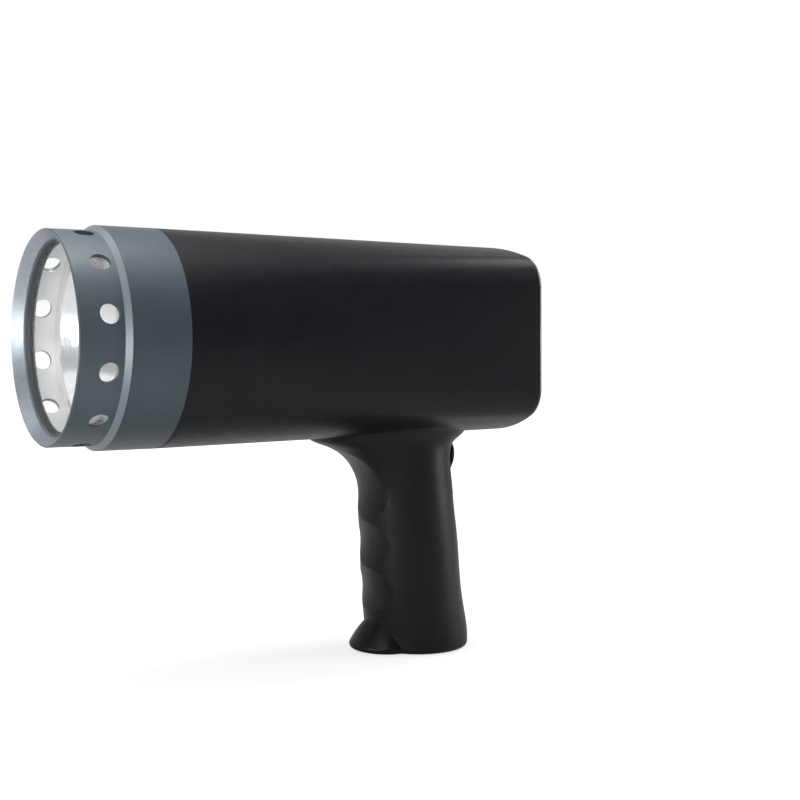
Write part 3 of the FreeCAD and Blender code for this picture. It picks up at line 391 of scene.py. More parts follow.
def noise(tree, scale, detail=3.0, stretch=None):
    """A noise value over the surface, with features of about one over scale metres."""
    node = tree.nodes.new("ShaderNodeTexNoise")
    node.inputs["Scale"].default_value = scale
    node.inputs["Detail"].default_value = detail
    source = object_coordinates(tree)
    if stretch is not None:
        mapping = tree.nodes.new("ShaderNodeMapping")
        mapping.inputs["Scale"].default_value = stretch
        tree.links.new(source, mapping.inputs["Vector"])
        source = mapping.outputs["Vector"]
    tree.links.new(source, node.inputs["Vector"])
    return node.outputs["Fac"]


def between(tree, value, low, high, start=0.35, end=0.65):
    """Turns a value from start to end into a value from low to high."""
    node = tree.nodes.new("ShaderNodeMapRange")
    node.inputs["From Min"].default_value = start
    node.inputs["From Max"].default_value = end
    node.inputs["To Min"].default_value = low
    node.inputs["To Max"].default_value = high
    tree.links.new(value, node.inputs["Value"])
    return node.outputs["Result"]


# Inputs and output of a mix node for each kind of value
MIX_SOCKETS = {"FLOAT": (2, 3, 0), "VECTOR": (4, 5, 1), "RGBA": (6, 7, 2)}


def blended(tree, factor, first, second, kind="RGBA"):
    """A value between two constants or outputs. Constants are colours, or numbers for FLOAT."""
    node = tree.nodes.new("ShaderNodeMix")
    node.data_type = kind
    tree.links.new(factor, node.inputs["Factor"])
    first_socket, second_socket, result = MIX_SOCKETS[kind]
    for index, value in ((first_socket, first), (second_socket, second)):
        if isinstance(value, tuple):
            node.inputs[index].default_value = (*value, 1.0)
        elif isinstance(value, float):
            node.inputs[index].default_value = value
        else:
            tree.links.new(value, node.inputs[index])
    return node.outputs[result]


def mottled(tree, scale, dark, light):
    """A colour that wanders between two colours over the surface."""
    return blended(tree, between(tree, noise(tree, scale), 0.0, 1.0), dark, light)


def calculated(tree, operation, first, second=None):
    """A math node on values or outputs."""
    node = tree.nodes.new("ShaderNodeMath")
    node.operation = operation
    for socket, value in zip(node.inputs, (first, second)):
        if value is None:
            continue
        if isinstance(value, (int, float)):
            socket.default_value = value
        else:
            tree.links.new(value, socket)
    return node.outputs[0]


def both(tree, first, second):
    """One where both values are one, zero where either is zero."""
    return calculated(tree, "MULTIPLY", first, second)


def opposite(tree, value):
    """One where a value is zero, zero where it is one."""
    return calculated(tree, "SUBTRACT", 1.0, value)


def coordinate(tree, axis, source=None):
    """One coordinate of the row frame over the surface, or of another vector."""
    split = tree.nodes.new("ShaderNodeSeparateXYZ")
    tree.links.new(source or object_coordinates(tree), split.inputs[0])
    return split.outputs[axis]


def along_panel_normal(tree, source):
    """How far a vector reaches along the panel's normal."""
    node = tree.nodes.new("ShaderNodeVectorMath")
    node.operation = "DOT_PRODUCT"
    node.inputs[1].default_value = PANEL_NORMAL
    tree.links.new(source, node.inputs[0])
    return node.outputs["Value"]


def lamp_axis_distance(tree):
    """Distance from the lamp axis, in metres."""
    rise = calculated(tree, "SUBTRACT", coordinate(tree, "Z"), LAMP_AXIS)
    squares = calculated(tree, "ADD", calculated(tree, "POWER", coordinate(tree, "Y"), 2.0),
                         calculated(tree, "POWER", rise, 2.0))
    return calculated(tree, "SQRT", squares)


def graded(tree, node, foot, top):
    """A colour that changes from the lowest point of a node to its highest."""
    low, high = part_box(node)
    height = between(tree, coordinate(tree, "Z"), 0.0, 1.0, low.z, high.z)
    return blended(tree, height, foot, top)


def add_bump(tree, shader, height, strength, distance, normal=None):
    """Lets a height value shape the surface, on top of another normal if one is given."""
    node = tree.nodes.new("ShaderNodeBump")
    node.inputs["Strength"].default_value = strength
    node.inputs["Distance"].default_value = distance
    tree.links.new(height, node.inputs["Height"])
    if normal is not None:
        tree.links.new(normal, node.inputs["Normal"])
    tree.links.new(node.outputs["Normal"], shader.inputs["Normal"])


def plastic(name, dark, light, roughness, bump=0.12):
    """Moulded plastic: slight mottling, uneven gloss and a fine grain."""
    material, tree, shader = new_material(name)
    tree.links.new(mottled(tree, 60.0, dark, light), shader.inputs["Base Color"])
    gloss = between(tree, noise(tree, 180.0), roughness - 0.05, roughness + 0.05)
    tree.links.new(gloss, shader.inputs["Roughness"])
    add_bump(tree, shader, noise(tree, PLASTIC_GRAIN, 2.0), bump, PLASTIC_DEPTH)
    return material


def metal(name, dark, light, roughness, stretch=None, bump=0.05):
    """Bare or plated metal with fine tool marks."""
    material, tree, shader = new_material(name)
    shader.inputs["Metallic"].default_value = 1.0
    streaks = noise(tree, METAL_STREAKS, 2.0, stretch)
    colour = blended(tree, between(tree, streaks, 0.0, 1.0), dark, light)
    tree.links.new(colour, shader.inputs["Base Color"])
    gloss = between(tree, streaks, roughness - 0.05, roughness + 0.08)
    tree.links.new(gloss, shader.inputs["Roughness"])
    add_bump(tree, shader, streaks, bump, METAL_DEPTH)
    return material


def clear(name, colour, alpha, roughness):
    """A clear pane: mostly see-through, with its own reflections and faint smears."""
    material, tree, shader = new_material(name)
    shader.inputs["Base Color"].default_value = (*colour, 1.0)
    shader.inputs["Alpha"].default_value = alpha
    smears = between(tree, noise(tree, GLASS_SMEARS), roughness, roughness + 0.06)
    tree.links.new(smears, shader.inputs["Roughness"])
    return material


def bore_radius(node):
    """The least distance of a node from the lamp axis."""
    corners = [vertex.co for vertex in nodes[node].data.vertices]
    return min(math.hypot(corner.y, corner.z - LAMP_AXIS) for corner in corners)


def front_glass():
    """The lens: clear, with a dark band where the retaining ring lies behind it."""
    material, tree, shader = new_material("front_glass")
    band_start = bore_radius("lens_retaining_ring") - GLASS_BAND_OVERLAP
    covered = calculated(tree, "GREATER_THAN", lamp_axis_distance(tree), band_start)
    smears = noise(tree, GLASS_SMEARS)
    glass = blended(tree, between(tree, smears, 0.0, 1.0), (0.92, 0.95, 0.96), (0.94, 0.97, 0.98))
    tree.links.new(blended(tree, covered, glass, GLASS_BAND_COLOUR), shader.inputs["Base Color"])
    tree.links.new(between(tree, covered, 0.10, 1.0, 0.0, 1.0), shader.inputs["Alpha"])
    tree.links.new(between(tree, smears, 0.02, 0.08), shader.inputs["Roughness"])
    return material


def turned_rings(tree, distance, station):
    """A height with fine rings round the lamp axis."""
    rings = tree.nodes.new("ShaderNodeTexNoise")
    rings.noise_dimensions = "2D"
    rings.inputs["Scale"].default_value = 1.0
    joined = tree.nodes.new("ShaderNodeCombineXYZ")
    tree.links.new(calculated(tree, "MULTIPLY", distance, 9000.0), joined.inputs["X"])
    tree.links.new(calculated(tree, "MULTIPLY", station, 3000.0), joined.inputs["Y"])
    tree.links.new(joined.outputs[0], rings.inputs["Vector"])
    return rings.outputs["Fac"]


def bezel_paint():
    """Slate paint outside and in the vents, machined metal on the lip and a pale inner wall; the vented ring's
    paint is lighter than the collar's as painted light, and the shoulder band's lighter colour is painted sheen on
    partly bare metal.
    """
    material, tree, shader = new_material("slate_ring")
    distance = lamp_axis_distance(tree)
    station = coordinate(tree, "X")
    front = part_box("front_bezel")[0].x
    behind_lip = calculated(tree, "GREATER_THAN", station, front + LIP_END)
    paint_from = between(tree, behind_lip, LIP_PAINT_RADIUS, BORE_PAINT_RADIUS, 0.0, 1.0)
    outside = calculated(tree, "GREATER_THAN", distance, paint_from)
    inside = opposite(tree, outside)
    on_ring = calculated(tree, "LESS_THAN", station, front + SHOULDER_START)
    on_shoulder = both(tree, calculated(tree, "GREATER_THAN", station, front + SHOULDER_START),
                       calculated(tree, "LESS_THAN", station, front + SHOULDER_END))

    # The vented ring gets a lighter paint than the collar: painted light for the light on the front of the lamp.
    paint = blended(tree, on_ring, mottled(tree, 70.0, *COLLAR_PAINT), mottled(tree, 70.0, *RING_PAINT_PAINTED_LIGHT))
    # The shoulder band's lighter colour is painted sheen, from a light at the front left; the band is also partly
    # bare metal.
    paint = blended(tree, on_shoulder, paint, SHOULDER_PAINTED_SHEEN)
    turned = between(tree, noise(tree, 400.0, 2.0), 0.0, 1.0)
    silver = blended(tree, turned, *TURNED_SILVER)
    unpainted = blended(tree, behind_lip, silver, mottled(tree, 120.0, *PALE_WALL))
    tree.links.new(blended(tree, outside, unpainted, paint), shader.inputs["Base Color"])

    lip = both(tree, inside, opposite(tree, behind_lip))
    shoulder = calculated(tree, "MULTIPLY", both(tree, on_shoulder, outside), SHOULDER_BARE_SHARE)
    bare = calculated(tree, "MAXIMUM", lip, shoulder)
    wall = calculated(tree, "MULTIPLY", both(tree, inside, behind_lip), PALE_WALL_METALLIC)
    metallic = calculated(tree, "MAXIMUM", between(tree, bare, 0.2, 0.9, 0.0, 1.0), wall)
    tree.links.new(metallic, shader.inputs["Metallic"])
    tree.links.new(between(tree, bare, 0.45, 0.37, 0.0, 1.0), shader.inputs["Roughness"])
    shader.inputs["Specular IOR Level"].default_value = 0.9
    add_bump(tree, shader, turned_rings(tree, distance, station), 0.02, 0.00005)
    return material


def off_seam(tree):
    """Zero on the seam of the half shells and one beside it; down the grip it nearly closes."""
    aside = calculated(tree, "ABSOLUTE", coordinate(tree, "Y"))
    beside = between(tree, aside, 0.0, 1.0, SEAM_HALF_WIDTH * 0.6, SEAM_HALF_WIDTH * 1.4)
    closed = between(tree, coordinate(tree, "Z"), SEAM_CLOSED_SHARE, 0.0,
                     LAMP_AXIS - SEAM_CLOSED_DROP, LAMP_AXIS - SEAM_OPEN_DROP)
    return calculated(tree, "MAXIMUM", beside, closed)


def soft_neck_normal(tree):
    """The surface's normal, softened where the neck runs into the head on either side."""
    height = coordinate(tree, "Z")
    aside = calculated(tree, "ABSOLUTE", coordinate(tree, "Y"))
    aside = between(tree, aside, 0.0, 1.0, *SOFT_NECK_ASIDE)
    above = between(tree, height, 0.0, 1.0, *(LAMP_AXIS - drop for drop in SOFT_NECK_FOOT))
    below = between(tree, height, 1.0, 0.0, *(LAMP_AXIS - drop for drop in SOFT_NECK_TOP))
    softened = tree.nodes.new("ShaderNodeBevel")
    softened.samples = 8
    softened.inputs["Radius"].default_value = SOFT_NECK_RADIUS
    plain = tree.nodes.new("ShaderNodeNewGeometry").outputs["Normal"]
    on_neck = both(tree, aside, both(tree, above, below))
    return blended(tree, on_neck, plain, softened.outputs["Normal"], "VECTOR")


def black_case():
    """Fine-grained black housing with a seam and a glossier rim round the panel, whose lighter grey is painted
    sheen.
    """
    material, tree, shader = new_material("black_case")
    reach = along_panel_normal(tree, object_coordinates(tree))
    rim = between(tree, reach, 0.0, 1.0, OVERLAY_REACH - RIM_START_DEPTH, OVERLAY_REACH - RIM_FULL_DEPTH)
    beside_seam = off_seam(tree)
    base = mottled(tree, 50.0, (0.0040, 0.0044, 0.0064), (0.0053, 0.0058, 0.0082))
    # The rim's lighter grey is painted sheen, for the highlight of the lights on the glossy rim; its gloss and
    # coat below are real.
    base = blended(tree, rim, base, (0.036, 0.037, 0.041))
    base = blended(tree, beside_seam, (0.001, 0.001, 0.001), base)
    tree.links.new(base, shader.inputs["Base Color"])
    gloss = blended(tree, rim, between(tree, noise(tree, 220.0), 0.36, 0.40), 0.16, "FLOAT")
    tree.links.new(gloss, shader.inputs["Roughness"])
    shader.inputs["Specular IOR Level"].default_value = 0.22
    tree.links.new(between(tree, rim, 0.0, 0.8, 0.0, 1.0), shader.inputs["Coat Weight"])
    shader.inputs["Coat Roughness"].default_value = 0.12
    grain = calculated(tree, "MULTIPLY", noise(tree, 3000.0, 2.0), 0.1)
    relief = calculated(tree, "ADD", grain, beside_seam)
    add_bump(tree, shader, relief, 0.8, PLASTIC_DEPTH, soft_neck_normal(tree))
    return material


def overlay_film():
    """Pale mint film, a little lighter towards the top, with a faint texture."""
    material, tree, shader = new_material("mint_film")
    base = graded(tree, "panel_overlay", (0.400, 0.505, 0.450), (0.545, 0.645, 0.590))
    base = blended(tree, between(tree, noise(tree, 90.0), 0.0, 0.06), base, (0.75, 0.82, 0.78))
    tree.links.new(base, shader.inputs["Base Color"])
    shader.inputs["Roughness"].default_value = 0.38
    add_bump(tree, shader, noise(tree, 4200.0, 2.0), 0.10, 0.00003)
    return material


def display_cell():
    """Yellow-green display with a slight fall-off towards its lower edge."""
    material, tree, shader = new_material("display_green")
    base = graded(tree, "display_module", (0.610, 0.690, 0.285), (0.800, 0.850, 0.440))
    base = blended(tree, between(tree, noise(tree, 80.0), 0.0, 0.05), base, (0.9, 0.92, 0.7))
    tree.links.new(base, shader.inputs["Base Color"])
    shader.inputs["Roughness"].default_value = 0.5
    return material


def mirror_metal():
    """Metallised bowl with fine turned rings."""
    material, tree, shader = new_material("bright_bowl")
    shader.inputs["Metallic"].default_value = 0.93
    colour = mottled(tree, 300.0, (0.80, 0.80, 0.81), (0.87, 0.87, 0.88))
    tree.links.new(colour, shader.inputs["Base Color"])
    turns = calculated(tree, "MULTIPLY", lamp_axis_distance(tree), 12000.0)
    wave = calculated(tree, "SINE", turns)
    tree.links.new(between(tree, wave, 0.12, 0.22, -1.0, 1.0), shader.inputs["Roughness"])
    add_bump(tree, shader, wave, 0.04, METAL_DEPTH)
    return material


def key_plastic():
    """Off-white keys whose rounded edge is dark."""
    material, tree, shader = new_material("key_white")
    facing = along_panel_normal(tree, tree.nodes.new("ShaderNodeTexCoord").outputs["Normal"])
    flat = between(tree, facing, 0.0, 1.0, 0.90, 0.985)
    white = mottled(tree, 60.0, (0.74, 0.76, 0.71), (0.80, 0.82, 0.77))
    tree.links.new(blended(tree, flat, (0.085, 0.105, 0.098), white), shader.inputs["Base Color"])
    shader.inputs["Roughness"].default_value = 0.42
    add_bump(tree, shader, noise(tree, PLASTIC_GRAIN, 2.0), 0.06, 0.00004)
    return material


def knob_plastic():
    """Silver-grey plastic with a thin gloss coat."""
    material, tree, shader = new_material("silver_knob")
    colour = mottled(tree, 260.0, (0.46, 0.46, 0.45), (0.51, 0.51, 0.50))
    tree.links.new(colour, shader.inputs["Base Color"])
    for name, value in (("Metallic", 0.25), ("Roughness", 0.26), ("Coat Weight", 0.5),
                        ("Coat Roughness", 0.12)):
        shader.inputs[name].default_value = value
    add_bump(tree, shader, noise(tree, 2200.0, 2.0), 0.05, 0.00004)
    return material


def build_materials():
    """One material for each slot of the record."""
    return {
        "bezel": bezel_paint(),
        "seal": plastic("slate_seal", (0.105, 0.125, 0.150), (0.135, 0.155, 0.180), 0.5),
        "lens_glass": front_glass(),
        "ring_steel": metal("spring_steel", (0.060, 0.070, 0.082), (0.075, 0.085, 0.097), 0.28),
        "reflector": mirror_metal(),
        "inner_plastic": plastic("inner_black", (0.012, 0.012, 0.013), (0.020, 0.020, 0.021), 0.5),
        "socket_ceramic": plastic("white_ceramic", (0.72, 0.70, 0.65), (0.80, 0.78, 0.73), 0.45),
        "tube_glass": clear("tube_glass", (0.95, 0.97, 1.0), 0.35, 0.02),
        "electrode_metal": metal("electrode", (0.45, 0.44, 0.42), (0.60, 0.59, 0.57), 0.3),
        "black_plastic": black_case(),
        "screw_steel": metal("plated_steel", (0.16, 0.16, 0.17), (0.26, 0.26, 0.27), 0.32),
        "panel_plastic": plastic("panel_black", (0.008, 0.008, 0.009), (0.013, 0.013, 0.014), 0.4),
        "overlay_film": overlay_film(),
        "display_bezel": plastic("display_rim", (0.070, 0.078, 0.078), (0.095, 0.105, 0.105), 0.35),
        "window_clear": clear("display_pane", (0.95, 0.97, 0.95), 0.03, 0.03),
        "display_cell": display_cell(),
        "pin_metal": metal("tinned_pin", (0.55, 0.52, 0.45), (0.68, 0.65, 0.58), 0.3),
        "board": plastic("green_board", (0.010, 0.075, 0.030), (0.016, 0.110, 0.045), 0.35),
        "key_plastic": key_plastic(),
        "pot_metal": metal("plated_can", (0.50, 0.50, 0.48), (0.62, 0.62, 0.60), 0.3),
        "shaft_metal": metal("turned_shaft", (0.58, 0.58, 0.58), (0.70, 0.70, 0.70), 0.25),
        "nut_brass": metal("plated_brass", (0.62, 0.58, 0.48), (0.74, 0.70, 0.60), 0.28),
        "knob_plastic": knob_plastic(),
        "jack_plastic": plastic("jack_black", (0.006, 0.008, 0.008), (0.012, 0.014, 0.014), 0.28),
        "switch_plastic": plastic("switch_black", (0.006, 0.006, 0.007), (0.011, 0.011, 0.012), 0.24, 0.04),
        "rocker_plastic": plastic("rocker_black", (0.012, 0.012, 0.013), (0.019, 0.019, 0.020), 0.32, 0.04),
        "capacitor_sleeve": plastic("sleeve", (0.012, 0.018, 0.060), (0.020, 0.028, 0.085), 0.3),
        "ferrite": plastic("ferrite", (0.035, 0.035, 0.038), (0.055, 0.055, 0.058), 0.55),
        "winding": metal("copper_winding", (0.55, 0.24, 0.09), (0.70, 0.34, 0.14), 0.35,
                         (1.0, 1.0, 9.0), 0.5),
        "coil_potting": plastic("potting", (0.020, 0.020, 0.021), (0.034, 0.034, 0.035), 0.3),
        "sink_aluminium": metal("bare_aluminium", (0.55, 0.55, 0.57), (0.66, 0.66, 0.68), 0.38),
        "cell_can": plastic("cell_sleeve", (0.030, 0.130, 0.300), (0.045, 0.170, 0.370), 0.3),
    }


def dress_nodes(materials):
    """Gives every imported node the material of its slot."""
    slot_of = {entry["node"]: entry["material_slot"] for entry in frame["record"]["subparts"]}
    for name, node in nodes.items():
        material = materials[slot_of[name]]
        if not node.data.materials:
            node.data.materials.append(material)
        for index in range(len(node.data.materials)):
            node.data.materials[index] = material


# Display digits and printed marks

PANEL_AXES = (PANEL_SIDE, PANEL_UP)


def segment_outline(letter):
    """One segment of a digit with its ends cut at a slant, in a cell whose lower left corner is zero."""
    wide = DIGIT_WIDTH
    tall = DIGIT_HEIGHT
    line = DIGIT_STROKE
    gap = DIGIT_GAP
    half = tall / 2
    upper_left = [(0, tall - gap - line * 0.25), (line, tall - line - gap), (line, half + line / 2 + gap),
                  (line * 0.35, half + gap), (0, half + gap + line * 0.25)]
    top = [(gap + line * 0.25, tall), (wide - gap - line * 0.25, tall), (wide - line - gap, tall - line),
           (line + gap, tall - line)]
    middle_bar = [(gap + line * 0.5, half), (line + gap, half + line / 2),
                  (wide - line - gap, half + line / 2), (wide - gap - line * 0.5, half),
                  (wide - line - gap, half - line / 2), (line + gap, half - line / 2)]
    across = {"a": (top, 1, 1), "d": (top, 1, -1), "g": (middle_bar, 1, 1), "f": (upper_left, 1, 1),
              "b": (upper_left, -1, 1), "e": (upper_left, 1, -1), "c": (upper_left, -1, -1)}
    shape, flip_side, flip_rise = across[letter]
    return [(x if flip_side > 0 else wide - x, y if flip_rise > 0 else tall - y) for x, y in shape]


def turn_symbol(place, radius, width):
    """An open circle with an arrow head, for turns."""
    ring = stroke(outline_arc((0, 0), radius, 60, 350, 28), width)
    angle = math.radians(60)
    head = arrow_head((radius * math.cos(angle), radius * math.sin(angle)),
                      (math.sin(angle), -math.cos(angle)), radius * 0.8, radius)
    return [moved(ring, place), moved(head, place)]


def display_marks(material):
    """The number and the turn symbol, on the cell's face behind the pane."""
    outlines = []
    for index, digit in enumerate(SHOWN_NUMBER):
        left = DIGIT_RIGHT - DIGIT_WIDTH - (len(SHOWN_NUMBER) - 1 - index) * DIGIT_PITCH
        for letter in SEGMENTS[digit]:
            points = []
            for point in segment_outline(letter):
                rise = point[1] - DIGIT_HEIGHT / 2
                points.append((left + point[0] + rise * DIGIT_SLANT, rise - DIGIT_DROP))
            outlines.append(points)
    outlines += turn_symbol(TURN_SYMBOL_PLACE, TURN_SYMBOL_RADIUS, PRINT_STROKE)
    face = on_surface(middle("display_module"), PANEL_NORMAL, extent("display_module", PANEL_NORMAL)[1])
    place = on_surface(face, PANEL_UP, sum(extent("display_frame", PANEL_UP)) / 2)
    mark("display_number", outlines, [], place, PANEL_AXES, "root", material)


def knob_scale(name, centre, ticks, pitch, material):
    """A double-headed arc with minus and plus at its ends, and a row of ticks above it."""
    start = 90 - ARC_HALF_ANGLE
    end = 90 + ARC_HALF_ANGLE
    outlines = [stroke(outline_arc((0, 0), ARC_RADIUS, start, end, 24), ARC_STROKE)]
    for angle, turn in ((start, -1), (end, 1)):
        radians = math.radians(angle)
        base = (math.cos(radians) * ARC_RADIUS, math.sin(radians) * ARC_RADIUS)
        outlines.append(arrow_head(base, (-math.sin(radians) * turn, math.cos(radians) * turn),
                                   ARROW_LENGTH, ARROW_WIDTH))
    minus = stroke([(-SIGN_SIZE / 2, 0), (SIGN_SIZE / 2, 0)], SIGN_STROKE)
    outlines.append(moved(minus, (-SIGN_SIDE, SIGN_RISE)))
    outlines += plus_outlines((SIGN_SIDE, SIGN_RISE), SIGN_SIZE, SIGN_STROKE)
    for index in range(ticks):
        side = (index - (ticks - 1) / 2) * pitch
        low = TICK_RISE - TICK_HEIGHT / 2
        outlines.append(stroke([(side, low), (side, low + TICK_HEIGHT)], TICK_STROKE))
    mark(name, outlines, [], centre, PANEL_AXES, "root", material)


def pulse_row(material):
    """A row of even pulses across the top of the film."""
    pitch = PULSE_ROW_WIDTH / PULSES
    points = [(-PULSE_ROW_WIDTH / 2, 0)]
    for index in range(PULSES):
        middle_side = -PULSE_ROW_WIDTH / 2 + (index + 0.5) * pitch
        half = pitch * PULSE_SHARE / 2
        points += [(middle_side - half, 0), (middle_side - half, PULSE_ROW_HEIGHT),
                   (middle_side + half, PULSE_ROW_HEIGHT), (middle_side + half, 0)]
    points.append((PULSE_ROW_WIDTH / 2, 0))
    outline = stroke([(x, y - PULSE_ROW_HEIGHT / 2) for x, y in points], PRINT_STROKE)
    mark("pulse_row", [outline], [], panel_place(0, PULSE_ROW_RISE), PANEL_AXES, "root", material)


def flash_row(material):
    """A row of small flash signs under the display."""
    shape = [(0.15, 0.5), (-0.5, -0.05), (-0.05, -0.05), (-0.2, -0.5), (0.5, 0.1), (0.05, 0.1)]
    flash = [(x * FLASH_WIDTH, y * FLASH_HEIGHT) for x, y in shape]
    outlines = [moved(flash, ((index - (FLASHES - 1) / 2) * FLASH_PITCH, 0)) for index in range(FLASHES)]
    mark("flash_row", outlines, [], panel_place(*FLASH_ROW_PLACE), PANEL_AXES, "root", material)


def input_mark(material):
    """A small arrow into a bar under the trigger socket."""
    half = INPUT_MARK_WIDTH / 2
    tall = INPUT_MARK_HEIGHT / 2
    outlines = [
        stroke([(-half, 0), (half * 0.2, 0)], PRINT_STROKE),
        arrow_head((half * 0.2, 0), (1, 0), half * 0.6, tall * 1.3),
        stroke([(half, -tall), (half, tall)], PRINT_STROKE),
    ]
    mark("input_mark", outlines, [], panel_place(*INPUT_MARK_PLACE), PANEL_AXES, "root", material)


def key_symbol(kind):
    """The sign printed on a key."""
    left = (-KEY_MARK_SIDE, 0)
    two = two_outline((KEY_MARK_SIDE, 0), KEY_MARK_HEIGHT, KEY_MARK_STROKE)
    if kind == "double":
        return cross_outlines(left, KEY_MARK_HEIGHT * KEY_CROSS_SHARE, KEY_MARK_STROKE) + [two]
    if kind == "halve":
        return divide_outlines(left, KEY_MARK_HEIGHT * KEY_DIVIDE_SHARE, KEY_MARK_STROKE) + [two]
    if kind == "trigger":
        return [stroke(KEY_PULSE, KEY_MARK_STROKE)]
    half = KEY_ARROW_HALF
    heads = [arrow_head((half * sign, 0), (sign, 0), half, KEY_ARROW_WIDTH) for sign in (1, -1)]
    return [stroke([(-half, 0), (half, 0)], KEY_MARK_STROKE)] + heads


def key_sign(kind, material):
    """The sign on a key's face."""
    node = "key_" + kind
    centre = on_surface(middle(node), PANEL_SIDE, sum(extent(node, PANEL_SIDE)) / 2)
    centre = on_surface(centre, PANEL_UP, sum(extent(node, PANEL_UP)) / 2)
    mark(node + "_sign", key_symbol(kind), [], centre, PANEL_AXES, node, material, surface_finder(node))


def knob_marks(white, dark):
    """A white pointer on the fine knob and a dark dot on the coarse one."""
    angle = math.radians(POINTER_ANGLE)
    distances = [POINTER_START + (POINTER_END - POINTER_START) * step / 6 for step in range(7)]
    line = [(distance * math.cos(angle), distance * math.sin(angle)) for distance in distances]
    mark("fine_pointer", [stroke(line, POINTER_WIDTH)], [], FINE_KNOB, PANEL_AXES, "fine_knob", white,
         surface_finder("fine_knob"))
    angle = math.radians(DOT_ANGLE)
    dot = disc_outline((DOT_DISTANCE * math.cos(angle), DOT_DISTANCE * math.sin(angle)), DOT_RADIUS, 20)
    mark("coarse_dot", [dot], [], COARSE_KNOB, PANEL_AXES, "coarse_knob", dark,
         surface_finder("coarse_knob"))


def rocker_marks(white):
    """On and off signs on the two halves of the rocker."""
    out = switch_direction()
    axes = (PANEL_SIDE, out.cross(PANEL_SIDE))
    find = surface_finder("switch_rocker")
    low = ON_MARK_RISE - ON_MARK_HEIGHT / 2
    bar = stroke([(0, low), (0, low + ON_MARK_HEIGHT / 2), (0, low + ON_MARK_HEIGHT)], ON_MARK_WIDTH)
    outer = disc_outline((0, OFF_MARK_RISE), OFF_MARK_RADIUS)
    inner = disc_outline((0, OFF_MARK_RISE), OFF_MARK_RADIUS - OFF_MARK_LINE)
    mark("rocker_signs", [bar], [(outer, inner)], ROCKER_PIVOT, axes, "switch_rocker", white, find)


def switch_direction():
    """The way the switch faces: across the flat top of its round flange."""
    data = nodes["switch_housing"].data
    far = ROCKER_PIVOT + Vector((1, 0, 0))
    weight = Vector((0, 0, 0))
    for face in data.polygons:
        if face.normal.x > 0.9 and (face.center - far).length < 1.0:
            weight += face.normal * face.area
    return weight.normalized()


def loose_parts(node):
    """The corners of each separate body of a node's mesh."""
    shape = bmesh.new()
    shape.from_mesh(nodes[node].data)
    waiting = set(shape.verts)
    parts = []
    while waiting:
        reached = [waiting.pop()]
        for vertex in reached:
            for edge in vertex.link_edges:
                other = edge.other_vert(vertex)
                if other in waiting:
                    waiting.remove(other)
                    reached.append(other)
        parts.append([vertex.co.copy() for vertex in reached])
    shape.free()
    return parts


def screw_recess_shades(material):
    """A dark cross on each case screw, seen down its hole from the right side: painted shade that stands for its
    cross recess.
    """
    axes = (Vector((-1, 0, 0)), Vector((0, 0, 1)))
    for index, corners in enumerate(loose_parts("housing_screws")):
        top = max(corner.y for corner in corners)
        middle_x = (max(c.x for c in corners) + min(c.x for c in corners)) / 2
        middle_z = (max(c.z for c in corners) + min(c.z for c in corners)) / 2
        outlines = plus_outlines((0, 0), RECESS_ARM * 2, RECESS_WIDTH)
        centre = Vector((middle_x, top, middle_z))
        mark(f"screw_recess_{index}", outlines, [], centre, axes, "root", material)


# Camera and studio

def make_camera():
    """The camera of the photograph's larger view."""
    yaw = math.radians(CAMERA_YAW)
    rise = math.radians(CAMERA_RISE)
    roll = math.radians(CAMERA_ROLL)
    back = Vector((math.sin(yaw) * math.cos(rise), -math.cos(yaw) * math.cos(rise), math.sin(rise)))
    level = (-back).cross(Vector((0, 0, 1))).normalized()
    upward = level.cross(-back)
    right = level * math.cos(roll) + upward * math.sin(roll)
    up = upward * math.cos(roll) - level * math.sin(roll)
    camera_data = bpy.data.cameras.new("camera")
    camera_data.lens = CAMERA_LENS
    camera_data.sensor_width = SENSOR
    camera_data.clip_start = 0.01
    camera = bpy.data.objects.new("camera", camera_data)
    camera.matrix_world = Matrix.Translation(CAMERA_PLACE) @ Matrix((right, up, back)).transposed().to_4x4()
    bpy.context.scene.collection.objects.link(camera)
    bpy.context.scene.camera = camera


def area_light(name, place, target, width, height, power, colour):
    """A soft rectangular light aimed at a point."""
    data = bpy.data.lights.new(name, "AREA")
    data.shape = "RECTANGLE"
    data.size = width
    data.size_y = height
    data.energy = power
    data.color = colour
    light = bpy.data.objects.new(name, data)
    aim = (Vector(target) - Vector(place)).to_track_quat("-Z", "Y")
    light.matrix_world = Matrix.Translation(place) @ aim.to_matrix().to_4x4()
    bpy.context.scene.collection.objects.link(light)


def make_floor():
    """A pale floor that fades to white away from the object and keeps its shadow."""
    bpy.ops.mesh.primitive_plane_add(size=FLOOR_SIZE, location=(0, 0, -FLOOR_DROP))
    floor = bpy.context.object
    floor.name = "floor"
    material, tree, shader = new_material("floor_white")
    shader.inputs["Base Color"].default_value = (0.5, 0.5, 0.5, 1.0)
    shader.inputs["Roughness"].default_value = 0.9
    shader.inputs["Specular IOR Level"].default_value = 0.0
    shader.inputs["Emission Color"].default_value = (*WHITE, 1.0)
    length = tree.nodes.new("ShaderNodeVectorMath")
    length.operation = "LENGTH"
    tree.links.new(object_coordinates(tree), length.inputs[0])
    fade = between(tree, length.outputs["Value"], FLOOR_GLOW, 1.0, FLOOR_PLAIN_RADIUS, FLOOR_WHITE_RADIUS)
    path = tree.nodes.new("ShaderNodeLightPath")
    mirrored = calculated(tree, "MULTIPLY", path.outputs["Is Glossy Ray"], FLOOR_MIRRORED)
    seen = calculated(tree, "MAXIMUM", path.outputs["Is Camera Ray"], mirrored)
    tree.links.new(calculated(tree, "MULTIPLY", seen, fade), shader.inputs["Emission Strength"])
    floor.data.materials.append(material)


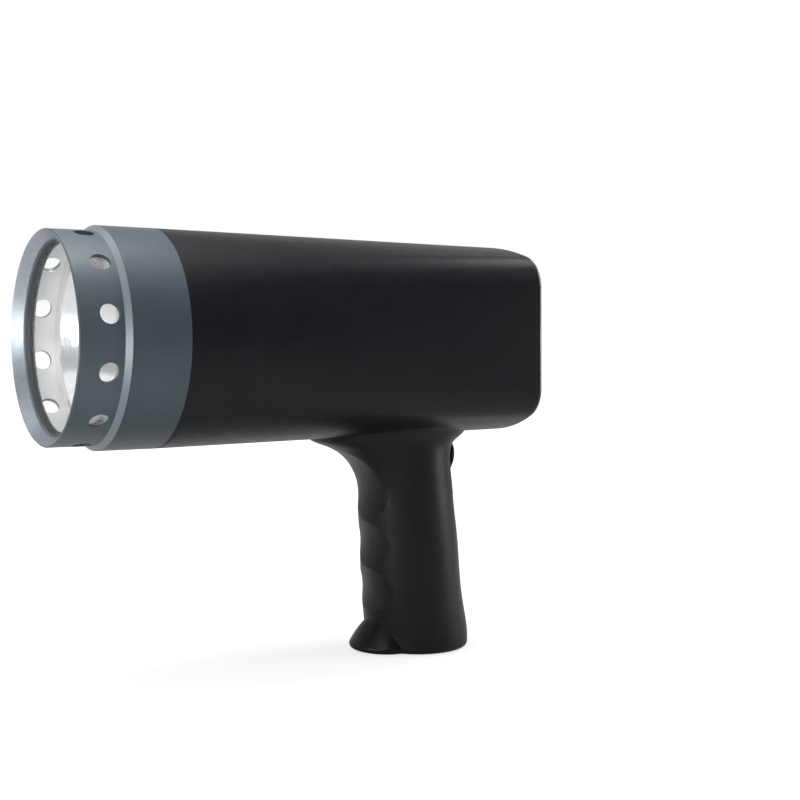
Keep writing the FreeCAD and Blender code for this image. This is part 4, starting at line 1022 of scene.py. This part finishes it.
def make_world():
    """White for the camera; for the object, bright behind it and before its lamp, dim elsewhere."""
    world = bpy.data.worlds.new("world")
    bpy.context.scene.world = world
    world.use_nodes = True
    tree = world.node_tree
    background = tree.nodes["Background"]
    direction = tree.nodes.new("ShaderNodeTexCoord").outputs["Generated"]
    low_down = between(tree, coordinate(tree, "Z", direction), 1.0, SKY_OVERHEAD_SHARE, 0.2, 0.75)
    behind = between(tree, coordinate(tree, "Y", direction), SKY_DIM, SKY_BEHIND, -0.2, 0.7)
    behind = calculated(tree, "MULTIPLY", behind, low_down)
    before_lamp = between(tree, coordinate(tree, "X", direction), SKY_BEFORE_LAMP, SKY_DIM, -0.95, -0.45)
    round_object = calculated(tree, "MAXIMUM", behind, before_lamp)
    path = tree.nodes.new("ShaderNodeLightPath")
    strength = calculated(tree, "MAXIMUM", path.outputs["Is Camera Ray"], round_object)
    tree.links.new(strength, background.inputs["Strength"])
    background.inputs["Color"].default_value = (*WHITE, 1.0)


def make_lights():
    """Soft lights round the object, a strip before the lamp and a weak fill inside it."""
    for light in SOFT_LIGHTS:
        area_light(*light)
    fill = bpy.data.lights.new("lamp_fill", "POINT")
    fill.energy = LAMP_FILL_POWER
    fill.shadow_soft_size = LAMP_FILL_RADIUS
    lamp = bpy.data.objects.new("lamp_fill", fill)
    lamp.location = (middle("front_lens").x + LAMP_FILL_DEPTH, 0, LAMP_AXIS)
    bpy.context.scene.collection.objects.link(lamp)


materials = build_materials()
dress_nodes(materials)
ink = plastic("print_ink", (0.045, 0.054, 0.052), (0.065, 0.075, 0.072), 0.5)
digit_ink = plastic("display_ink", (0.010, 0.017, 0.014), (0.018, 0.027, 0.022), 0.45)
white_ink = plastic("white_ink", (0.80, 0.80, 0.78), (0.88, 0.88, 0.86), 0.4)
# Near-black for the dark crosses on the case screws: painted shade that stands for their cross recesses.
recess_shade = plastic("recess_shade", (0.006, 0.006, 0.006), (0.012, 0.012, 0.012), 0.5)
display_marks(digit_ink)
knob_scale("fine_scale", FINE_KNOB, FINE_TICKS, FINE_TICK_PITCH, ink)
knob_scale("coarse_scale", COARSE_KNOB, COARSE_TICKS, COARSE_TICK_PITCH, ink)
pulse_row(ink)
flash_row(ink)
input_mark(ink)
for kind in ("double", "halve", "trigger", "range"):
    key_sign(kind, ink)
knob_marks(white_ink, ink)
rocker_marks(white_ink)
screw_recess_shades(recess_shade)

make_camera()
make_floor()
make_world()
make_lights()
bpy.context.scene.view_settings.view_transform = "Standard"
